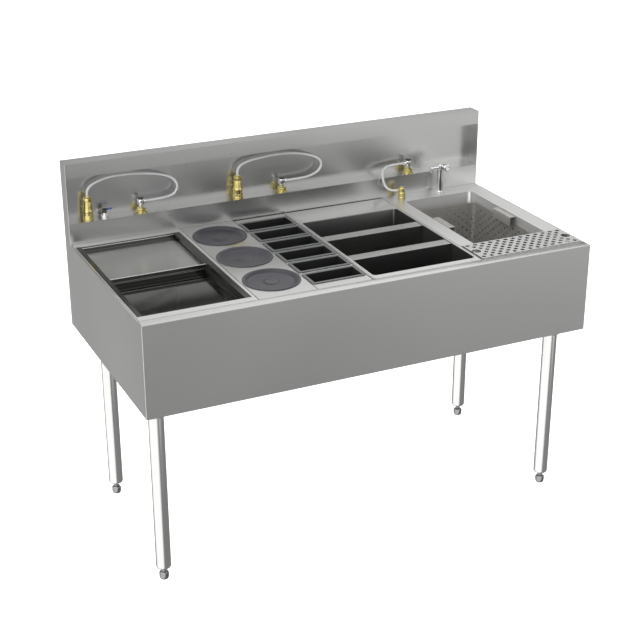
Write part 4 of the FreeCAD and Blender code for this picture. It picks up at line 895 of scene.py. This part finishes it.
LEFT_ROUTE = [(0, 0, 0), (0, 0, 12), (7, 0, 24), (26, 0, 35), (61, 0, 44), (111, 0, 45),
              (169, 0, 39), (217, 0, 27), (239, 0, 13), (248, 0, -3), (245, 0, -19)]
LEFT_ARRIVAL = [(72, 0, 3.5), (32.5, 0, 0), (0, 0, 0)]
MIDDLE_ROUTE = [(0, 0, 0), (0, 0, 12), (7, 0, 24), (24, 0, 33), (60, 0, 39), (110, 0, 43),
                (160, 0, 41), (202, 0, 33), (232, 0, 21), (247, 0, 10), (251, 0, -2.5),
                (247, 0, -15)]
MIDDLE_ARRIVAL = [(89, 0, 9.5), (65, 0, 1.5), (32.5, 0, 0), (0, 0, 0)]
RIGHT_ROUTE = [(0, 0, 0), (-26, 0, 0), (-56, 0, -2), (-76, -12, -11)]
RIGHT_ARRIVAL = [(-38, 11, 17), (-21, 0, 0), (0, 0, 0)]
BARREL_REACH = 14.0


def make_hoses():
    """Three flexible tubes, each from its fitting to the head or valve that it feeds."""
    routes = (("left", LEFT_ROUTE, LEFT_ARRIVAL), ("middle", MIDDLE_ROUTE, MIDDLE_ARRIVAL))
    rise = (OUTLET_LEVEL - BOSS_HEIGHT) * MM
    for side, first, last in routes:
        x, y, low, high = middle(side + "_check_valve")
        start = np.array([x, y, high])
        base_x, base_y, low, high = middle(side + "_outlet_base")
        end = np.array([base_x + BARREL_REACH * MM, base_y, high + rise])
        lay_hose(side, first, last, start, end)
    x, y, low, high = middle("right_outlet_base")
    start = np.array([x - BARREL_REACH * MM, y, high + rise])
    low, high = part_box("deck_fitting")
    end = np.array([low[0], (low[1] + high[1]) / 2,
                    high[2] - (DECK_FITTING_HEIGHT - DECK_TAIL_LEVEL) * MM])
    lay_hose("right", RIGHT_ROUTE, RIGHT_ARRIVAL, start, end)


def lay_hose(side, first, last, start, end):
    """One hose: a round tube on the smooth line of its route's points."""
    points = [start + np.array(step) * MM for step in first]
    points += [end + np.array(step) * MM for step in last]
    build(side + "_hose_tube", [tube(smooth_line(points), settings().hose_radius * MM)],
          paints()["hose"], "station", node=side + "_hose")


def basket_wall(half_x, half_y, corner):
    """A rounded rectangle by its way round: four straight sides, and four quarter circles of one
    corner radius. Returns a function that sets a distance along it and a depth into the sheet in
    plan, and the length of the whole way round."""
    straight_x = 2 * (half_x - corner)
    straight_y = 2 * (half_y - corner)
    bend = corner * math.pi / 2
    stops = np.cumsum([straight_x, bend, straight_y, bend, straight_x, bend, straight_y, bend])

    def around(u, inset):
        u = np.mod(u, stops[-1])
        side = np.clip(np.searchsorted(stops, u.ravel(), side="right").reshape(u.shape), 0, 7)
        travelled = u - np.concatenate([[0], stops])[side]
        quarter = side // 2
        on_bend = side % 2 == 1
        turn = np.where(on_bend, travelled / corner, 0.0) + quarter * math.pi / 2
        run = np.where(on_bend, 0.0, travelled)
        along = np.where(quarter % 2 == 0, straight_x, straight_y)
        run = np.where(on_bend, along, run) - along / 2
        direction = np.stack([np.cos(quarter * math.pi / 2), np.sin(quarter * math.pi / 2)], -1)
        outward = np.stack([np.sin(quarter * math.pi / 2), -np.cos(quarter * math.pi / 2)], -1)
        reach = np.where(quarter % 2 == 0, half_y, half_x) - corner
        centre = direction * run[..., None] + outward * reach[..., None]
        normal = np.stack([np.sin(turn), -np.cos(turn)], -1)
        return centre + normal * (corner - inset)[..., None]

    return around, stops[-1]


BASKET_DEPTH = 130.0
BASKET_CORNER = 10.0
BASKET_SHEET = 1.2
BLANK_EDGES = 20.0
FLOOR_EDGE = 10.0
WALL_POINTS = 240
GRIP_RISE = 24.0
GRIP_SHEET = 1.5
GRIP_HALF = 44.0
GRIP_BEND = [(0.0, -1.0), (0.0, 22.6), (0.6, 23.6), (1.6, 24.0), (18.4, 24.0), (19.5, 23.5),
             (20.0, 22.4), (20.0, -2.0)]
BASKET_FOOT = [(0.01, -16), (3.2, -16), (4.0, -15), (4.0, 0), (0.01, 0)]
FOOT_INSET = 42.0


def make_basket():
    """The lift-out basket: a perforated wall that follows a rounded rectangle, a perforated
    floor, turned feet and grips of folded strip."""
    kit = paints()
    s = settings()
    low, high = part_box("sink_basket")
    x, y = (low[0] + high[0]) / 2, (low[1] + high[1]) / 2
    top = high[2] - GRIP_RISE * MM
    half_x = (high[0] - low[0]) / 2 / MM
    half_y = (high[1] - low[1]) / 2 / MM
    around, length = basket_wall(half_x, half_y, BASKET_CORNER)
    columns = round(length / s.basket_pitch)
    rows = int((BASKET_DEPTH - BLANK_EDGES) // s.basket_row)
    margin = (BASKET_DEPTH - rows * s.basket_row) / 2
    origin = np.array([x, y, top - BASKET_DEPTH * MM])

    def wall(u, v, w):
        flat = around(u, np.full(u.shape, w * BASKET_SHEET))
        height = np.broadcast_to(v + margin, u.shape)
        return np.concatenate([flat, height[..., None]], -1) * MM + origin

    parts = [perforated(columns, rows, length / columns, s.basket_row, s.basket_hole,
                        BASKET_SHEET, wall, True)]
    u = np.linspace(0, length, WALL_POINTS, endpoint=False)
    for start, end in ((0.0, margin), (BASKET_DEPTH - margin, BASKET_DEPTH)):
        corners = [(0.0, start), (0.0, end), (BASKET_SHEET, end), (BASKET_SHEET, start)]
        rings = [np.concatenate([around(u, np.full(u.shape, inset)),
                                 np.full((len(u), 1), height)], -1) for inset, height in corners]
        rings.append(rings[0])
        points = np.stack(rings) * MM + origin
        faces = grid_faces(len(rings), len(u))
        parts.append((points.reshape(-1, 3), [tuple(f) for f in faces[:, ::-1]]))
    floor_columns = round((2 * half_y - 28) / s.basket_pitch)
    floor_rows = round((2 * half_x - 24) / s.basket_row)
    pitch_y = (2 * half_y - 2 * FLOOR_EDGE) / floor_columns
    pitch_x = (2 * half_x - 2 * FLOOR_EDGE) / floor_rows

    def base(u, v, w):
        flat = np.stack([v + FLOOR_EDGE - half_x, u + FLOOR_EDGE - half_y], -1)
        height = np.full(u.shape, w * BASKET_SHEET)
        return np.concatenate([flat, height[..., None]], -1) * MM + origin

    points, faces = perforated(floor_columns, floor_rows, pitch_y, pitch_x, s.basket_hole,
                               BASKET_SHEET, base, False)
    parts.append((points, [face[::-1] for face in faces]))
    outline = around(u, np.full(u.shape, BASKET_SHEET / 2))
    reach = np.array([half_x - FLOOR_EDGE, half_y - FLOOR_EDGE])
    inner = np.clip(outline, -reach, reach)
    for level, order in ((0.0, 1), (BASKET_SHEET, -1)):
        ring = np.stack([np.concatenate([line, np.full((len(u), 1), level)], -1)
                         for line in (outline, inner)]) * MM + origin
        faces = grid_faces(2, len(u))[:, ::order]
        parts.append((ring.reshape(-1, 3), [tuple(f) for f in faces]))
    for side in (-1, 1):
        bend = np.array([(side * (half_x - inward), height) for inward, height in GRIP_BEND])
        points, faces = folded_strip(bend * MM + (x, top), GRIP_SHEET * MM * side,
                                     y - GRIP_HALF * MM, y + GRIP_HALF * MM)
        parts.append((points, faces if side > 0 else [face[::-1] for face in faces]))
    for foot_x in (FOOT_INSET - half_x, half_x - FOOT_INSET):
        for foot_y in (FOOT_INSET - half_y, half_y - FOOT_INSET):
            place = origin + np.array([foot_x, foot_y, 0]) * MM
            parts.append(lathe(BASKET_FOOT, place, 32, 0.5))
    build("basket_perforated", parts, kit["basket"], "sink_basket", "sink_basket", 40.0)


FLOOR_REACH = 30.0
KEY_BOX = (2.2, (-2.2, -2.0, 3.4), (0.0, 0.0, 0.6))
FILL_BOX = (2.0, (2.6, -1.6, 2.2), (0.0, 0.0, 0.7))
CAMERA_PLACE = (-1.4696, -3.059, 1.989)
CAMERA_TILT = 66.37
CAMERA_TURN = -25.36
CAMERA_LENS = 78.2
CAMERA_SENSOR = 36.0


def make_stage():
    """A pale floor, soft light from above and a camera at the photograph's angle."""
    s = settings()
    corners = np.array([[-1, -1, 0], [1, -1, 0], [1, 1, 0], [-1, 1, 0]]) * FLOOR_REACH
    mesh = bpy.data.meshes.new("floor")
    mesh.from_pydata(corners.tolist(), [], [(0, 1, 2, 3)])
    mesh.materials.append(floor_paint("Floor", tuple(s.floor), s.glow))
    new_object("floor", mesh)
    world = bpy.data.worlds.new("Studio")
    world.use_nodes = True
    panels = (LEFT_WALL, PALE_WALL_BEHIND, CARD_ON_THE_RIGHT, CARD_BEHIND, CEILING)
    studio_sky(world.node_tree, s.sky, STUDIO_BASE, panels)
    bpy.context.scene.world = world
    add_light("key", s.key, *KEY_BOX)
    add_light("fill", s.fill, *FILL_BOX)
    camera_data = bpy.data.cameras.new("camera")
    camera_data.lens = CAMERA_LENS
    camera_data.sensor_width = CAMERA_SENSOR
    camera = new_object("camera", camera_data)
    camera.location = CAMERA_PLACE
    camera.rotation_euler = (math.radians(CAMERA_TILT), 0.0, math.radians(CAMERA_TURN))
    bpy.context.scene.camera = camera
    bpy.context.scene.view_settings.view_transform = "Standard"


def add_light(name, power, size, place, target):
    """A square soft box that looks at a target."""
    data = bpy.data.lights.new(name, "AREA")
    data.energy = power
    data.shape = "SQUARE"
    data.size = size
    light = new_object(name, data)
    light.location = place
    aim = Vector(target) - Vector(place)
    light.rotation_euler = aim.to_track_quat("-Z", "Y").to_euler()


# Operators
class STATION_OT_dress(bpy.types.Operator):
    """Give every sheet its folded edges and its steel"""

    bl_idname = "station.dress"
    bl_label = "Dress the sheet metal"

    def execute(self, context):
        dress_nodes()
        return {"FINISHED"}


class STATION_OT_legs(bpy.types.Operator):
    """Make the four leg tubes and their feet"""

    bl_idname = "station.legs"
    bl_label = "Legs and feet"

    def execute(self, context):
        make_legs()
        return {"FINISHED"}


class STATION_OT_dishes(bpy.types.Operator):
    """Make the three rimmer dishes"""

    bl_idname = "station.dishes"
    bl_label = "Rimmer dishes"

    def execute(self, context):
        make_dishes()
        return {"FINISHED"}


class STATION_OT_fittings(bpy.types.Operator):
    """Make the valves, outlets and the tap"""

    bl_idname = "station.fittings"
    bl_label = "Water fittings"

    def execute(self, context):
        make_fittings()
        return {"FINISHED"}


class STATION_OT_hoses(bpy.types.Operator):
    """Lay the three hoses"""

    bl_idname = "station.hoses"
    bl_label = "Hoses"

    def execute(self, context):
        make_hoses()
        return {"FINISHED"}


class STATION_OT_basket(bpy.types.Operator):
    """Make the perforated basket"""

    bl_idname = "station.basket"
    bl_label = "Perforated basket"

    def execute(self, context):
        make_basket()
        return {"FINISHED"}


class STATION_OT_stage(bpy.types.Operator):
    """Make the floor, the light and the camera"""

    bl_idname = "station.stage"
    bl_label = "Floor, light and camera"

    def execute(self, context):
        make_stage()
        return {"FINISHED"}


class STATION_PT_panel(bpy.types.Panel):
    """Lists the station's sizes, colours and operators"""

    bl_label = "Bar station"
    bl_space_type = "VIEW_3D"
    bl_region_type = "UI"
    bl_category = "Station"

    def draw(self, context):
        layout = self.layout
        chosen = context.scene.station_settings
        for key in chosen.__annotations__:
            layout.prop(chosen, key)
        for operator in OPERATORS:
            layout.operator(operator.bl_idname)


OPERATORS = (STATION_OT_dress, STATION_OT_legs, STATION_OT_dishes, STATION_OT_fittings,
             STATION_OT_hoses, STATION_OT_basket, STATION_OT_stage)
CLASSES = (StationSettings,) + OPERATORS + (STATION_PT_panel,)


def register():
    """Adds the settings, the operators and the panel."""
    for item in CLASSES:
        bpy.utils.register_class(item)
    bpy.types.Scene.station_settings = bpy.props.PointerProperty(type=StationSettings)


def unregister():
    """Takes them away again."""
    del bpy.types.Scene.station_settings
    for item in reversed(CLASSES):
        bpy.utils.unregister_class(item)


def main():
    """Makes the whole station."""
    register()
    bpy.ops.station.dress()
    bpy.ops.station.legs()
    bpy.ops.station.dishes()
    bpy.ops.station.fittings()
    bpy.ops.station.hoses()
    bpy.ops.station.basket()
    bpy.ops.station.stage()


if __name__ == "__main__":
    main()
